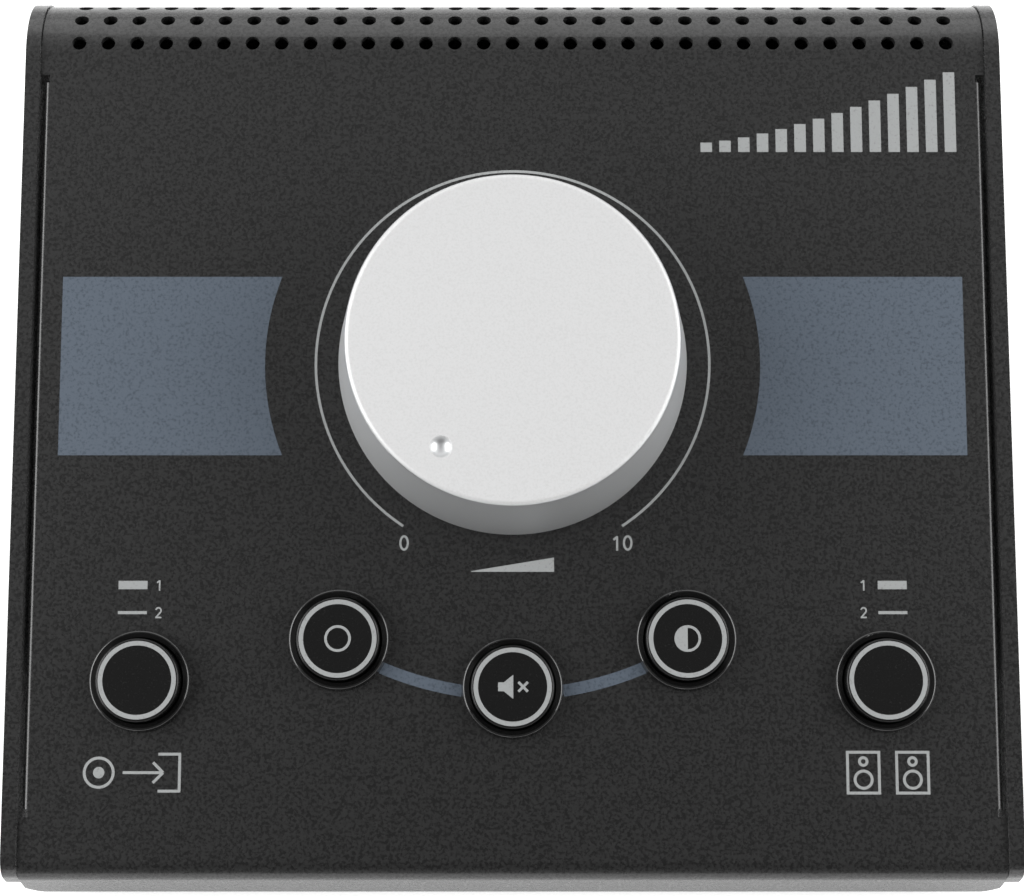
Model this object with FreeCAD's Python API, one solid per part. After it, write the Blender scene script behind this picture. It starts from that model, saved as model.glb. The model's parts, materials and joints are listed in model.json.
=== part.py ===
import FreeCAD, Part
import math
import os

from FreeCAD import Placement, Rotation, Vector

# Desktop studio monitor controller: a sloped sheet-steel case with one large volume knob,
# five latching push buttons and two rows of audio sockets on the back wall.
# All lengths are millimetres and all angles are degrees.
#
# Two frames are used. The case frame has x across, y back from the outside of the front wall
# and z up from the outside of the cover's bottom lip. The panel frame has its origin where the
# knob's axis meets the outside of the sloped panel: x across, y up the slope, z out of the panel.

# Sheet-metal case
SHEET = 1.2
PANEL_SLOPE = 17.0
PANEL_BELOW_KNOB = 80.0
PANEL_ABOVE_KNOB = 52.6
BOTTOM_BEND_RADIUS = 3.0
FRONT_FLAT = 7.0
FRONT_BEND_RADIUS = 3.0
REAR_BEND_RADIUS = 10.7
COVER_HALF_WIDTH = 78.15
COVER_LIP = 14.0
COVER_REAR_FLANGE = 6.2
LOWER_CORNER_REACH = 6.5
LOWER_CORNER_RISE = 3.6
LOWER_CORNER_START = 1.5

# Side flanges of the cover, in the slots beside the cheeks
SIDE_FLANGE_INSET = 0.45
SIDE_FLANGE_BEND = 1.0
SIDE_FLANGE_DEPTH = 9.0
SLOT_FRONT_GAP = 7.0
SLOT_REAR_GAP = 4.1
RELIEF_LENGTH = 1.3

# Vent holes round the rear bend
VENT_RADIUS = 1.18
VENT_PITCH = 4.8
VENT_SIDE_GAP = 5.0
VENT_ANGLES = (7.5, 33.3, 59.0)

# Cheeks
CHEEK_SEAM = 0.15
CHEEK_THICKNESS = 2.4
CHEEK_PROUD = 0.6
CHEEK_FRONT_INSET = 0.3
CHEEK_REAR_OVERHANG = 0.3
CHEEK_FLOOR_GAP = 0.5
CHEEK_FRONT_CORNER = 8.0
CHEEK_REAR_CORNER = 3.0

# Base tray
TRAY_CLEARANCE = 0.1
TRAY_BEND_RADIUS = 2.4
TRAY_FRONT_GAP = 2.2
TRAY_WALL_BELOW_BEND = 1.9
TRAY_SIDE_GAP = 1.35
TRAY_FLANGE_HEIGHT = 12.0
TRAY_FLANGE_ROOT = 5.0
TRAY_FLANGE_FRONT = 38.0
TRAY_FLANGE_REAR_GAP = 14.0

# Rubber feet
FOOT_DROP = 2.5
FOOT_TOP_RADIUS = 6.5
FOOT_BOTTOM_RADIUS = 5.6
FOOT_SIDE_INSET = 12.0
FOOT_LIP_GAP = 1.5

# Screws
SCREW_RADIUS = 1.5
SCREW_HOLE_GAP = 0.15
THREAD_GAP = 0.03
SCREW_HEAD_RADIUS = 2.8
SCREW_HEAD_HEIGHT = 1.6
SCREW_HEAD_ROUND = 0.9
COUNTERSINK_DEPTH = 1.5
SCREW_GRIP = 3.0
CROSS_LENGTH = 3.0
CROSS_WIDTH = 0.6
CROSS_DEPTH = 0.9
CHEEK_SCREW_ABOVE_TRAY = 5.7
CHEEK_SCREW_FRONT_Y = 44.0
CHEEK_SCREW_REAR_GAP = 22.0
CHEEK_SCREW_PANEL_V = -2.0
CHEEK_SCREW_PANEL_DEPTH = 5.4
BASE_SCREW_SIDE_INSET = 30.15
BASE_SCREW_Y = 8.5
REAR_SCREW_SIDE_INSET = 8.15
REAR_SCREW_RADIUS = 1.25
REAR_SCREW_HEAD_RADIUS = 2.2
REAR_SCREW_HEAD_HEIGHT = 1.4

# Volume knob
KNOB_BASE_RADIUS = 28.3
KNOB_TOP_RADIUS = 25.85
KNOB_GAP = 0.8
KNOB_TOP = 21.2
KNOB_WALL = 2.2
KNOB_ROOF = 3.0
KNOB_EDGE_ROUND = 0.8
KNOB_SKIRT_ROUND = 0.4
DIMPLE_REACH = 20.1
DIMPLE_RADIUS = 1.75
DIMPLE_DEPTH = 0.9
POINTER_FROM_DOWN = 32.85
HUB_EDGE_GAP = 0.25
HUB_DISC_THICKNESS = 2.0
HUB_BOSS_RADIUS = 6.5
HUB_BUSHING_GAP = 1.0
HUB_RIB_COUNT = 6
HUB_RIB_THICKNESS = 1.4
HUB_RIB_HEIGHT = 4.0
HUB_BORE_GAP = 0.03

# Four-gang potentiometer under the knob
SHAFT_RADIUS = 3.0
SHAFT_ROOF_GAP = 1.2
SHAFT_FLAT = 2.4
SHAFT_FLAT_LENGTH = 9.0
SHAFT_RUNNING_GAP = 0.05
BUSHING_RADIUS = 4.5
BUSHING_TOP = 5.4
BUSHING_PLATE = 1.5
PANEL_HOLE_GAP = 0.1
WASHER_RADIUS = 7.5
WASHER_THICKNESS = 0.5
NUT_ACROSS_FLATS = 12.0
NUT_THICKNESS = 2.0
NUT_THREAD_GAP = 0.05
GANG_COUNT = 4
GANG_WIDTH = 18.0
GANG_HEIGHT = 20.0
GANG_DEPTH = 5.2
GANG_FLOOR = 1.6
GANG_CAVITY_RADIUS = 7.6
GANG_HOLE_GAP = 0.35
WAFER_THICKNESS = 0.8
WAFER_EDGE_GAP = 0.15
WIPER_RADIUS = 6.6
WIPER_THICKNESS = 1.2
WIPER_LIFT = 0.5
SHAFT_END_GAP = 0.6
POT_PIN_PITCH = 5.0
POT_PIN_WIDTH = 0.9
POT_PIN_THICKNESS = 0.4
POT_BOARD_GAP = 2.6
POT_BOARD_HALF_WIDTH = 12.0
POT_BOARD_MARGIN = 1.0

# Push buttons: distances from the panel's side edges and up the panel from its front bend
SELECTOR_SIDE_INSET = 18.85
SELECTOR_FROM_BEND = 28.45
MODE_BUTTON_SPREAD = 27.7
OUTER_MODE_FROM_BEND = 35.0
MUTE_FROM_BEND = 27.4
BUTTON_TRAVEL = 2.5
CAP_RADIUS = 6.6
CAP_TOP = 3.7
CAP_LANDING_GAP = 0.5
CAP_WALL = 1.3
CAP_ROOF = 1.6
CAP_EDGE_ROUND = 0.35
CAP_SLIDE_GAP = 0.25
CAP_BOSS_RADIUS = 2.9
BEZEL_FLANGE_RADIUS = 8.2
BEZEL_CREST_RADIUS = 7.85
BEZEL_CREST_HEIGHT = 1.75
BEZEL_CREST_ROUND = 0.3
BEZEL_LIP_HEIGHT = 1.1
BEZEL_LIP_ROUND = 0.2
BEZEL_TUBE_RADIUS = 7.5
BEZEL_TUBE_BOTTOM = -4.8
BEZEL_BARB_COUNT = 3
BEZEL_BARB_REACH = 0.5
BEZEL_BARB_HEIGHT = 1.2
BEZEL_BARB_WIDTH = 3.0
STEM_WIDTH = 3.0
STEM_TOP = 1.6
STEM_SLIDE_GAP = 0.2
STEM_FOOT_WIDTH = 4.4
STEM_FOOT_THICKNESS = 1.0
SWITCH_WIDTH = 8.4
SWITCH_HEIGHT = 7.9
SWITCH_ROOF = 1.2
SWITCH_PIN_PITCH = 2.5
SWITCH_PIN_WIDTH = 0.5
SWITCH_PIN_DROP = 1.1
SPRING_RADIUS = 1.9
SPRING_WALL = 0.4
SPRING_SOLID_HEIGHT = 2.2

# Control board under the panel
BOARD_THICKNESS = 1.6
CONTROL_BOARD_DEPTH = 13.5
CONTROL_BOARD_SIDE_GAP = 7.15
CONTROL_BOARD_FROM_BEND = 20.0
CONTROL_BOARD_LENGTH = 32.0
CONTROL_TONGUE_HALF_WIDTH = 11.0
CONTROL_TONGUE_GAP = 0.1
STANDOFF_SIDE_INSET = 5.0
STANDOFF_REAR_INSET = 8.0
STANDOFF_FRONT_INSET = 4.0
STANDOFF_RADIUS = 2.75
BOARD_SCREW_LENGTH = 5.0
RESISTOR_SIZE = (3.2, 1.6, 0.6)
RESISTOR_COLUMNS = 4
RESISTOR_ROWS = 2
RESISTOR_PITCH = (5.0, 3.4)
RESISTOR_START_X = -19.0
RESISTOR_REAR_INSET = 7.5

# Audio sockets on the back wall
JACK_COLUMN_SIDE_INSET = 20.15
JACK_COLUMN_PITCH = 24.0
JACK_ROW_DROP = 7.7
JACK_ROW_PITCH = 16.5
JACK_BORE_RADIUS = 3.2
JACK_BORE_LENGTH = 30.0
JACK_THREAD_RADIUS = 4.5
JACK_THREAD_REACH = 4.0
JACK_BODY_WIDTH = 15.0
JACK_BODY_HEIGHT = 12.4
JACK_BODY_LENGTH = 28.0
JACK_HOLE_GAP = 0.1
JACK_EDGE_CHAMFER = 0.4
JACK_NUT_ACROSS_FLATS = 11.0
JACK_NUT_THICKNESS = 2.2
JACK_PIN_RADIUS = 0.5
JACK_PIN_SPREAD = 4.5
JACK_PIN_REACH = 3.0
MINI_X = 0.0
MINI_BORE_RADIUS = 1.775
MINI_BORE_LENGTH = 14.0
MINI_THREAD_RADIUS = 3.0
MINI_THREAD_REACH = 3.0
MINI_BODY_WIDTH = 9.0
MINI_BODY_HEIGHT = 8.0
MINI_BODY_LENGTH = 13.0
MINI_NUT_RADIUS = 4.2
MINI_NUT_THICKNESS = 1.8
MINI_LEAD_RADIUS = 0.6
MINI_LEAD_SPREAD = 2.5

# Socket board standing behind the sockets
JACK_BOARD_GAP = 0.3
JACK_BOARD_SIDE_GAP = 8.15
JACK_BOARD_FLOOR_GAP = 1.1
JACK_BOARD_ABOVE_ROW = 8.5
BOARD_HOLE_GAP = 0.1

# Ribbon cable between the boards
RIBBON_X = 38.0
RIBBON_WIDTH = 15.0
RIBBON_THICKNESS = 0.9
RIBBON_BEND = 5.0
RIBBON_START_INSET = 4.0
RIBBON_RISE_V = 10.0
RIBBON_END_RUN = 15.0
PLUG_WIDTH = 18.0
PLUG_DEPTH = 5.0
PLUG_HEIGHT = 3.6
HEADER_HEIGHT = 3.0

X_AXIS = Vector(1, 0, 0)
Y_AXIS = Vector(0, 1, 0)
Z_AXIS = Vector(0, 0, 1)

# Places that follow from the sizes above
slope = math.radians(PANEL_SLOPE)
front_bend_reach = FRONT_BEND_RADIUS * math.tan(math.radians(90 - PANEL_SLOPE) / 2)
rear_bend_reach = REAR_BEND_RADIUS * math.tan(math.radians(90 + PANEL_SLOPE) / 2)
front_edge_z = BOTTOM_BEND_RADIUS + FRONT_FLAT + front_bend_reach
knob_y = (PANEL_BELOW_KNOB + front_bend_reach) * math.cos(slope)
knob_z = front_edge_z + (PANEL_BELOW_KNOB + front_bend_reach) * math.sin(slope)
case_depth = knob_y + (PANEL_ABOVE_KNOB + rear_bend_reach) * math.cos(slope)
rear_edge_z = knob_z + (PANEL_ABOVE_KNOB + rear_bend_reach) * math.sin(slope)
rear_bend_y = case_depth - REAR_BEND_RADIUS
rear_bend_z = rear_edge_z - rear_bend_reach
rear_flange_z = rear_bend_z - COVER_REAR_FLANGE
side_flange_plane = COVER_HALF_WIDTH - SIDE_FLANGE_INSET
slot_front = SLOT_FRONT_GAP - PANEL_BELOW_KNOB
slot_rear = PANEL_ABOVE_KNOB - SLOT_REAR_GAP
vent_count = int(2 * (COVER_HALF_WIDTH - VENT_SIDE_GAP) / VENT_PITCH) + 1
cheek_inner_x = COVER_HALF_WIDTH + CHEEK_SEAM
cheek_outer_x = cheek_inner_x + CHEEK_THICKNESS
tray_half_width = COVER_HALF_WIDTH - TRAY_SIDE_GAP
tray_floor_z = SHEET + TRAY_CLEARANCE
tray_top_z = tray_floor_z + SHEET
base_screw_x = COVER_HALF_WIDTH - BASE_SCREW_SIDE_INSET
rear_screw_x = COVER_HALF_WIDTH - REAR_SCREW_SIDE_INSET
wall_y = case_depth - SHEET - TRAY_CLEARANCE
overall_depth = wall_y + JACK_THREAD_REACH
jack_rows = (rear_flange_z - JACK_ROW_DROP, rear_flange_z - JACK_ROW_DROP - JACK_ROW_PITCH)
mini_z = sum(jack_rows) / 2
knob_roof = KNOB_TOP - KNOB_ROOF
hub_bottom = BUSHING_TOP + HUB_BUSHING_GAP
shaft_top = knob_roof - SHAFT_ROOF_GAP
selector_x = COVER_HALF_WIDTH - SELECTOR_SIDE_INSET
selector_v = SELECTOR_FROM_BEND - PANEL_BELOW_KNOB
outer_mode_v = OUTER_MODE_FROM_BEND - PANEL_BELOW_KNOB
mute_v = MUTE_FROM_BEND - PANEL_BELOW_KNOB
button_places = {
    "source": (-selector_x, selector_v),
    "mono": (-MODE_BUTTON_SPREAD, outer_mode_v),
    "mute": (0.0, mute_v),
    "dim": (MODE_BUTTON_SPREAD, outer_mode_v),
    "monitor": (selector_x, selector_v),
}
control_board_half_width = COVER_HALF_WIDTH - CONTROL_BOARD_SIDE_GAP
control_board_front = CONTROL_BOARD_FROM_BEND - PANEL_BELOW_KNOB
control_board_rear = control_board_front + CONTROL_BOARD_LENGTH
board_top_n = -CONTROL_BOARD_DEPTH
board_under_n = board_top_n - BOARD_THICKNESS
switch_top_n = board_top_n + SWITCH_HEIGHT
stem_foot_top_n = switch_top_n - SWITCH_ROOF - STEM_SLIDE_GAP
stem_foot_under_n = stem_foot_top_n - STEM_FOOT_THICKNESS
switch_floor_n = stem_foot_under_n - BUTTON_TRAVEL - SPRING_SOLID_HEIGHT
cap_bottom_n = switch_top_n + BUTTON_TRAVEL + CAP_LANDING_GAP
bezel_bore = CAP_RADIUS + CAP_SLIDE_GAP
gang_front_n = -SHEET - BUSHING_PLATE
gang_rear_n = gang_front_n - GANG_COUNT * GANG_DEPTH
pot_board_front_v = -GANG_HEIGHT / 2 - POT_BOARD_GAP - BOARD_THICKNESS
ribbon_start_v = control_board_rear - RIBBON_START_INSET
jack_outer_x = COVER_HALF_WIDTH - JACK_COLUMN_SIDE_INSET
jack_inner_x = jack_outer_x - JACK_COLUMN_PITCH
jack_columns = {
    "source_a_jacks": -jack_outer_x,
    "source_b_jacks": -jack_inner_x,
    "monitor_a_jacks": jack_inner_x,
    "monitor_b_jacks": jack_outer_x,
}
jack_board_half_width = COVER_HALF_WIDTH - JACK_BOARD_SIDE_GAP
jack_board_rear_y = wall_y - SHEET - JACK_BODY_LENGTH - JACK_BOARD_GAP
jack_board_front_y = jack_board_rear_y - BOARD_THICKNESS

CASE_FRAME = Placement(Vector(0, -overall_depth / 2, FOOT_DROP), Rotation())
PANEL_IN_CASE = Placement(Vector(0, knob_y, knob_z), Rotation(X_AXIS, PANEL_SLOPE))


def corner_round(before, corner, after, radius):
    """Start, middle and end of the arc of this radius that rounds one corner."""
    if radius <= 0:
        return corner, corner, corner
    back = (before - corner).normalize()
    ahead = (after - corner).normalize()
    half_angle = back.getAngle(ahead) / 2
    inward = (back + ahead).normalize()
    centre = corner + inward * (radius / math.sin(half_angle))
    reach = radius / math.tan(half_angle)
    return corner + back * reach, centre - inward * radius, corner + ahead * reach


def rounded_face(points, radii):
    """Flat face inside a closed outline whose corners have tangent arcs."""
    count = len(points)
    rounds = []
    for i in range(count):
        rounds.append(corner_round(points[i - 1], points[i], points[(i + 1) % count], radii[i]))
    edges = []
    for i in range(count):
        start, middle, end = rounds[i]
        if radii[i] > 0:
            edges.append(Part.Arc(start, middle, end).toShape())
        next_start = rounds[(i + 1) % count][0]
        if (next_start - end).Length > 1e-6:
            edges.append(Part.makeLine(end, next_start))
    return Part.Face(Part.Wire(edges))


def shifted_path(path, distance, axis):
    """The path moved sideways by the distance, to its right as seen along the axis."""
    sides = []
    for i in range(len(path) - 1):
        sides.append((path[i + 1] - path[i]).normalize().cross(axis))
    moved = [path[0] + sides[0] * distance]
    for i in range(1, len(path) - 1):
        both = sides[i - 1] + sides[i]
        moved.append(path[i] + both * (distance / (1 + sides[i - 1].dot(sides[i]))))
    moved.append(path[-1] + sides[-1] * distance)
    return moved


def folded_sheet(path, radii, thickness, axis, length):
    """Sheet metal folded along a path, its outer bends rounded, and as long as given."""
    inner_path = shifted_path(path, thickness, axis)
    inner_radii = [max(radius - thickness, 0) for radius in radii]
    outline = path + inner_path[::-1]
    section = rounded_face(outline, radii + inner_radii[::-1])
    section.translate(axis * (-length / 2))
    return section.extrude(axis * length)


def turned(points, radii):
    """Solid turned about the z axis from a closed outline of (radius, height) points."""
    outline = [Vector(radius, 0, height) for radius, height in points]
    return rounded_face(outline, radii).revolve(Vector(0, 0, 0), Z_AXIS, 360)


def ring(outer, inner, low, high):
    """Plain ring or tube about the z axis."""
    tube = Part.makeCylinder(outer, high - low, Vector(0, 0, low))
    return tube.cut(Part.makeCylinder(inner, high - low + 2, Vector(0, 0, low - 1)))


def block(low_x, high_x, low_y, high_y, low_z, high_z):
    """Box between two opposite corners."""
    corner = Vector(low_x, low_y, low_z)
    return Part.makeBox(high_x - low_x, high_y - low_y, high_z - low_z, corner)


def centred_block(x, y, width, length, low_z, high_z):
    """Box centred on a point, between two heights."""
    return block(x - width / 2, x + width / 2, y - length / 2, y + length / 2, low_z, high_z)


def hexagon(across_flats, low, high):
    """Hexagonal prism about the z axis."""
    reach = across_flats / math.sqrt(3)
    points = []
    for i in range(6):
        angle = math.radians(60 * i)
        points.append(Vector(reach * math.cos(angle), reach * math.sin(angle), low))
    return Part.Face(Part.makePolygon(points + points[:1])).extrude(Vector(0, 0, high - low))


def moved(shape, x, y, z=0):
    """A copy of the shape, moved."""
    copy = shape.copy()
    copy.translate(Vector(x, y, z))
    return copy


def facing(shape, direction, x, y, z):
    """A copy of a shape drawn about +z, turned to face a direction and moved to a point."""
    copy = shape.copy()
    copy.Placement = Placement(Vector(x, y, z), Rotation(Z_AXIS, direction)).multiply(copy.Placement)
    return copy


def from_panel(shape):
    """The shape carried from the panel frame to the case frame."""
    copy = shape.copy()
    copy.Placement = PANEL_IN_CASE.multiply(copy.Placement)
    return copy


def pan_screw(radius, length, head_radius, head_height):
    """Pan-head screw whose shank points down from z = 0, with a cross recess in its head."""
    shank = Part.makeCylinder(radius, length, Vector(0, 0, -length))
    head = turned(
        [(0, 0), (head_radius, 0), (head_radius, head_height), (0, head_height)],
        [0, 0, SCREW_HEAD_ROUND, 0],
    )
    return shank.fuse(head).cut(cross_recess(head_height)).removeSplitter()


def cross_recess(top):
    """Cross-shaped cutter for a screw head whose top is at this height."""
    low = top - CROSS_DEPTH
    one = centred_block(0, 0, CROSS_LENGTH, CROSS_WIDTH, low, top + 1)
    other = centred_block(0, 0, CROSS_WIDTH, CROSS_LENGTH, low, top + 1)
    return one.fuse(other)


def countersunk_screw(length):
    """Countersunk screw with its flat head at z = 0 and its shank pointing down."""
    points = [(0, 0), (SCREW_HEAD_RADIUS, 0), (SCREW_RADIUS, -COUNTERSINK_DEPTH)]
    points += [(SCREW_RADIUS, -length), (0, -length)]
    return turned(points, [0] * len(points)).cut(cross_recess(0)).removeSplitter()


def cheek_screw_places():
    """Height and depth of the three screws on each cheek, in the case frame."""
    upper = PANEL_IN_CASE.multVec(Vector(0, CHEEK_SCREW_PANEL_V, -CHEEK_SCREW_PANEL_DEPTH))
    low_z = tray_floor_z + CHEEK_SCREW_ABOVE_TRAY
    front = (CHEEK_SCREW_FRONT_Y, low_z)
    rear = (case_depth - CHEEK_SCREW_REAR_GAP, low_z)
    return [front, rear, (upper.y, upper.z)]


def side_holes(radius):
    """Cutters for the side screws, right through the case."""
    length = 2 * cheek_outer_x + 2
    holes = []
    for y, z in cheek_screw_places():
        start = Vector(-length / 2, y, z)
        holes.append(Part.makeCylinder(radius, length, start, X_AXIS))
    return Part.makeCompound(holes)


def base_holes(radius):
    """Cutters for the screws through the cover's lip and the tray's floor."""
    holes = []
    for side in (-1, 1):
        start = Vector(side * base_screw_x, BASE_SCREW_Y, -1)
        holes.append(Part.makeCylinder(radius, tray_top_z + 2, start))
    return Part.makeCompound(holes)


def rear_screw_z():
    """Height of the screws through the cover's rear flange."""
    return (rear_flange_z + rear_bend_z) / 2


def rear_holes(radius):
    """Cutters for the screws through the cover's rear flange and the tray's wall."""
    holes = []
    for x in (-rear_screw_x, 0, rear_screw_x):
        start = Vector(x, wall_y - SHEET - 1, rear_screw_z())
        holes.append(Part.makeCylinder(radius, 2 * SHEET + 3, start, Y_AXIS))
    return Part.makeCompound(holes)


def vent_holes():
    """Cutters for the rows of vent holes, each square to the bend's surface."""
    holes = []
    for row_angle in VENT_ANGLES:
        angle = math.radians(row_angle - PANEL_SLOPE)
        outward = Vector(0, math.sin(angle), math.cos(angle))
        for i in range(vent_count):
            x = (i - (vent_count - 1) / 2) * VENT_PITCH
            middle = Vector(x, rear_bend_y, rear_bend_z)
            start = middle + outward * (REAR_BEND_RADIUS - 2 * SHEET)
            holes.append(Part.makeCylinder(VENT_RADIUS, 3 * SHEET, start, outward))
    return Part.makeCompound(holes)


def lower_corner_cutter():
    """Cutter that rounds the lower corners of the cover's front wall and lip."""
    radius = (LOWER_CORNER_REACH ** 2 + LOWER_CORNER_RISE ** 2) / (2 * LOWER_CORNER_RISE)
    inner_x = COVER_HALF_WIDTH - LOWER_CORNER_REACH
    centre_z = LOWER_CORNER_START + radius
    depth = COVER_LIP + 2
    keep = Part.makeCylinder(radius, depth, Vector(inner_x, -1, centre_z), Y_AXIS)
    square = block(inner_x, COVER_HALF_WIDTH + 1, -1, depth - 1, -1, centre_z)
    return square.cut(keep)


def side_flange():
    """The cover's right side flange with its bend, in the panel frame."""
    start_x = side_flange_plane - SIDE_FLANGE_BEND
    path = [
        Vector(start_x, 0, 0),
        Vector(side_flange_plane, 0, 0),
        Vector(side_flange_plane, 0, -SIDE_FLANGE_DEPTH),
    ]
    length = slot_rear - slot_front - 2 * RELIEF_LENGTH
    flange = folded_sheet(path, [0, SIDE_FLANGE_BEND, 0], SHEET, -Y_AXIS, length)
    return moved(flange, 0, (slot_rear + slot_front) / 2)


def make_top_cover():
    """One folded sheet: lip, front wall, sloped panel with side flanges, and vented rear bend."""
    path = [
        Vector(0, COVER_LIP, 0),
        Vector(0, 0, 0),
        Vector(0, 0, front_edge_z),
        Vector(0, case_depth, rear_edge_z),
        Vector(0, case_depth, rear_flange_z),
    ]
    radii = [0, BOTTOM_BEND_RADIUS, FRONT_BEND_RADIUS, REAR_BEND_RADIUS, 0]
    cover = folded_sheet(path, radii, SHEET, X_AXIS, 2 * COVER_HALF_WIDTH)
    slot_start = side_flange_plane - SIDE_FLANGE_BEND
    slot = block(slot_start, COVER_HALF_WIDTH + 1, slot_front, slot_rear, -2 * SHEET, SHEET)
    right_slot = from_panel(slot)
    right_flange = from_panel(side_flange())
    right_corner = lower_corner_cutter()
    cover = cover.cut(Part.makeCompound([right_slot, right_corner]))
    cover = cover.cut(Part.makeCompound([mirrored(right_slot), mirrored(right_corner)]))
    cover = cover.fuse([right_flange, mirrored(right_flange)]).removeSplitter()
    cutters = [vent_holes(), side_holes(SCREW_RADIUS + THREAD_GAP)]
    cutters.append(base_holes(SCREW_RADIUS + SCREW_HOLE_GAP))
    cutters.append(rear_holes(REAR_SCREW_RADIUS + SCREW_HOLE_GAP))
    pot_hole = Part.makeCylinder(BUSHING_RADIUS + PANEL_HOLE_GAP, 4 * SHEET, Vector(0, 0, -2 * SHEET))
    cutters.append(from_panel(pot_hole))
    for x, v in button_places.values():
        start = Vector(x, v, -2 * SHEET)
        hole = Part.makeCylinder(BEZEL_TUBE_RADIUS + PANEL_HOLE_GAP, 4 * SHEET, start)
        cutters.append(from_panel(hole))
    return cover.cut(Part.makeCompound(cutters))


def mirrored(shape):
    """The shape mirrored from the right half of the case to the left half."""
    return shape.mirror(Vector(0, 0, 0), X_AXIS)


def make_cheek(side):
    """Flat side plate, a little proud of the panel, with countersunk screw holes."""
    rise = CHEEK_PROUD / math.cos(slope)
    front_y = CHEEK_FRONT_INSET
    rear_y = case_depth + CHEEK_REAR_OVERHANG
    panel_z = front_edge_z + rise
    low_z = CHEEK_FLOOR_GAP
    points = [
        Vector(0, front_y, low_z),
        Vector(0, front_y, panel_z + front_y * math.tan(slope)),
        Vector(0, rear_y, panel_z + rear_y * math.tan(slope)),
        Vector(0, rear_y, low_z),
    ]
    radii = [
        CHEEK_FRONT_CORNER,
        FRONT_BEND_RADIUS + CHEEK_PROUD,
        REAR_BEND_RADIUS + CHEEK_PROUD,
        CHEEK_REAR_CORNER,
    ]
    face = rounded_face(points, radii)
    face.translate(Vector(cheek_inner_x, 0, 0))
    plate = face.extrude(Vector(CHEEK_THICKNESS, 0, 0))
    plate = plate.cut(side_holes(SCREW_RADIUS + SCREW_HOLE_GAP))
    sink_depth = COUNTERSINK_DEPTH + SCREW_HOLE_GAP
    sink = Part.makeCone(SCREW_RADIUS, SCREW_HEAD_RADIUS + SCREW_HOLE_GAP, sink_depth)
    for y, z in cheek_screw_places():
        start = Vector(cheek_outer_x - sink_depth, y, z)
        plate = plate.cut(facing(sink, X_AXIS, start.x, start.y, start.z))
    if side < 0:
        return mirrored(plate)
    return plate


def make_cheek_screws():
    """Six countersunk screws, three in each cheek."""
    length = cheek_outer_x - side_flange_plane + SCREW_GRIP
    screws = []
    for y, z in cheek_screw_places():
        right = facing(countersunk_screw(length), X_AXIS, cheek_outer_x, y, z)
        screws.append(right)
        screws.append(mirrored(right))
    return Part.makeCompound(screws)


def tray_side_flange():
    """The tray's right side flange, which the lower cheek screws go into."""
    outer_x = COVER_HALF_WIDTH - TRAY_CLEARANCE
    rear_y = case_depth - TRAY_FLANGE_REAR_GAP
    path = [
        Vector(tray_half_width - TRAY_FLANGE_ROOT, 0, tray_floor_z),
        Vector(outer_x, 0, tray_floor_z),
        Vector(outer_x, 0, tray_floor_z + TRAY_FLANGE_HEIGHT),
    ]
    radii = [0, TRAY_BEND_RADIUS, 0]
    flange = folded_sheet(path, radii, SHEET, Y_AXIS, rear_y - TRAY_FLANGE_FRONT)
    return moved(flange, 0, (rear_y + TRAY_FLANGE_FRONT) / 2)


def make_base_tray():
    """Folded tray: floor, back wall with the socket holes, and two side flanges."""
    path = [
        Vector(0, wall_y, rear_bend_z - TRAY_WALL_BELOW_BEND),
        Vector(0, wall_y, tray_floor_z),
        Vector(0, SHEET + TRAY_FRONT_GAP, tray_floor_z),
    ]
    tray = folded_sheet(path, [0, TRAY_BEND_RADIUS, 0], SHEET, X_AXIS, 2 * tray_half_width)
    right_flange = tray_side_flange()
    tray = tray.fuse([right_flange, mirrored(right_flange)]).removeSplitter()
    cutters = [side_holes(SCREW_RADIUS + THREAD_GAP), base_holes(SCREW_RADIUS + THREAD_GAP)]
    cutters.append(rear_holes(REAR_SCREW_RADIUS + THREAD_GAP))
    for x in jack_columns.values():
        for z in jack_rows:
            start = Vector(x, wall_y - 2 * SHEET, z)
            radius = JACK_THREAD_RADIUS + JACK_HOLE_GAP
            cutters.append(Part.makeCylinder(radius, 4 * SHEET, start, Y_AXIS))
    start = Vector(MINI_X, wall_y - 2 * SHEET, mini_z)
    radius = MINI_THREAD_RADIUS + JACK_HOLE_GAP
    cutters.append(Part.makeCylinder(radius, 4 * SHEET, start, Y_AXIS))
    return tray.cut(Part.makeCompound(cutters))


def make_base_screws():
    """Two pan-head screws up through the cover's lip into the tray."""
    length = tray_top_z + SHEET
    screw = pan_screw(SCREW_RADIUS, length, SCREW_HEAD_RADIUS, SCREW_HEAD_HEIGHT)
    right = facing(screw, -Z_AXIS, base_screw_x, BASE_SCREW_Y, 0)
    return Part.makeCompound([right, mirrored(right)])


def make_rear_screws():
    """Three small pan-head screws through the cover's rear flange."""
    length = 2 * SHEET + TRAY_CLEARANCE + SHEET
    screw = pan_screw(REAR_SCREW_RADIUS, length, REAR_SCREW_HEAD_RADIUS, REAR_SCREW_HEAD_HEIGHT)
    screws = []
    for x in (-rear_screw_x, 0, rear_screw_x):
        screws.append(facing(screw, Y_AXIS, x, case_depth, rear_screw_z()))
    return Part.makeCompound(screws)


def foot_places():
    """Centres of the four feet, in the case frame."""
    x = cheek_outer_x - FOOT_SIDE_INSET
    inset = COVER_LIP + FOOT_LIP_GAP + FOOT_TOP_RADIUS
    return [
        (-x, inset),
        (x, inset),
        (-x, case_depth - inset),
        (x, case_depth - inset),
    ]


def make_rubber_feet():
    """Four tapered rubber feet stuck to the underside of the tray."""
    foot = Part.makeCone(FOOT_BOTTOM_RADIUS, FOOT_TOP_RADIUS, tray_floor_z + FOOT_DROP)
    feet = []
    for x, y in foot_places():
        feet.append(moved(foot, x, y, -FOOT_DROP))
    return Part.makeCompound(feet)


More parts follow.
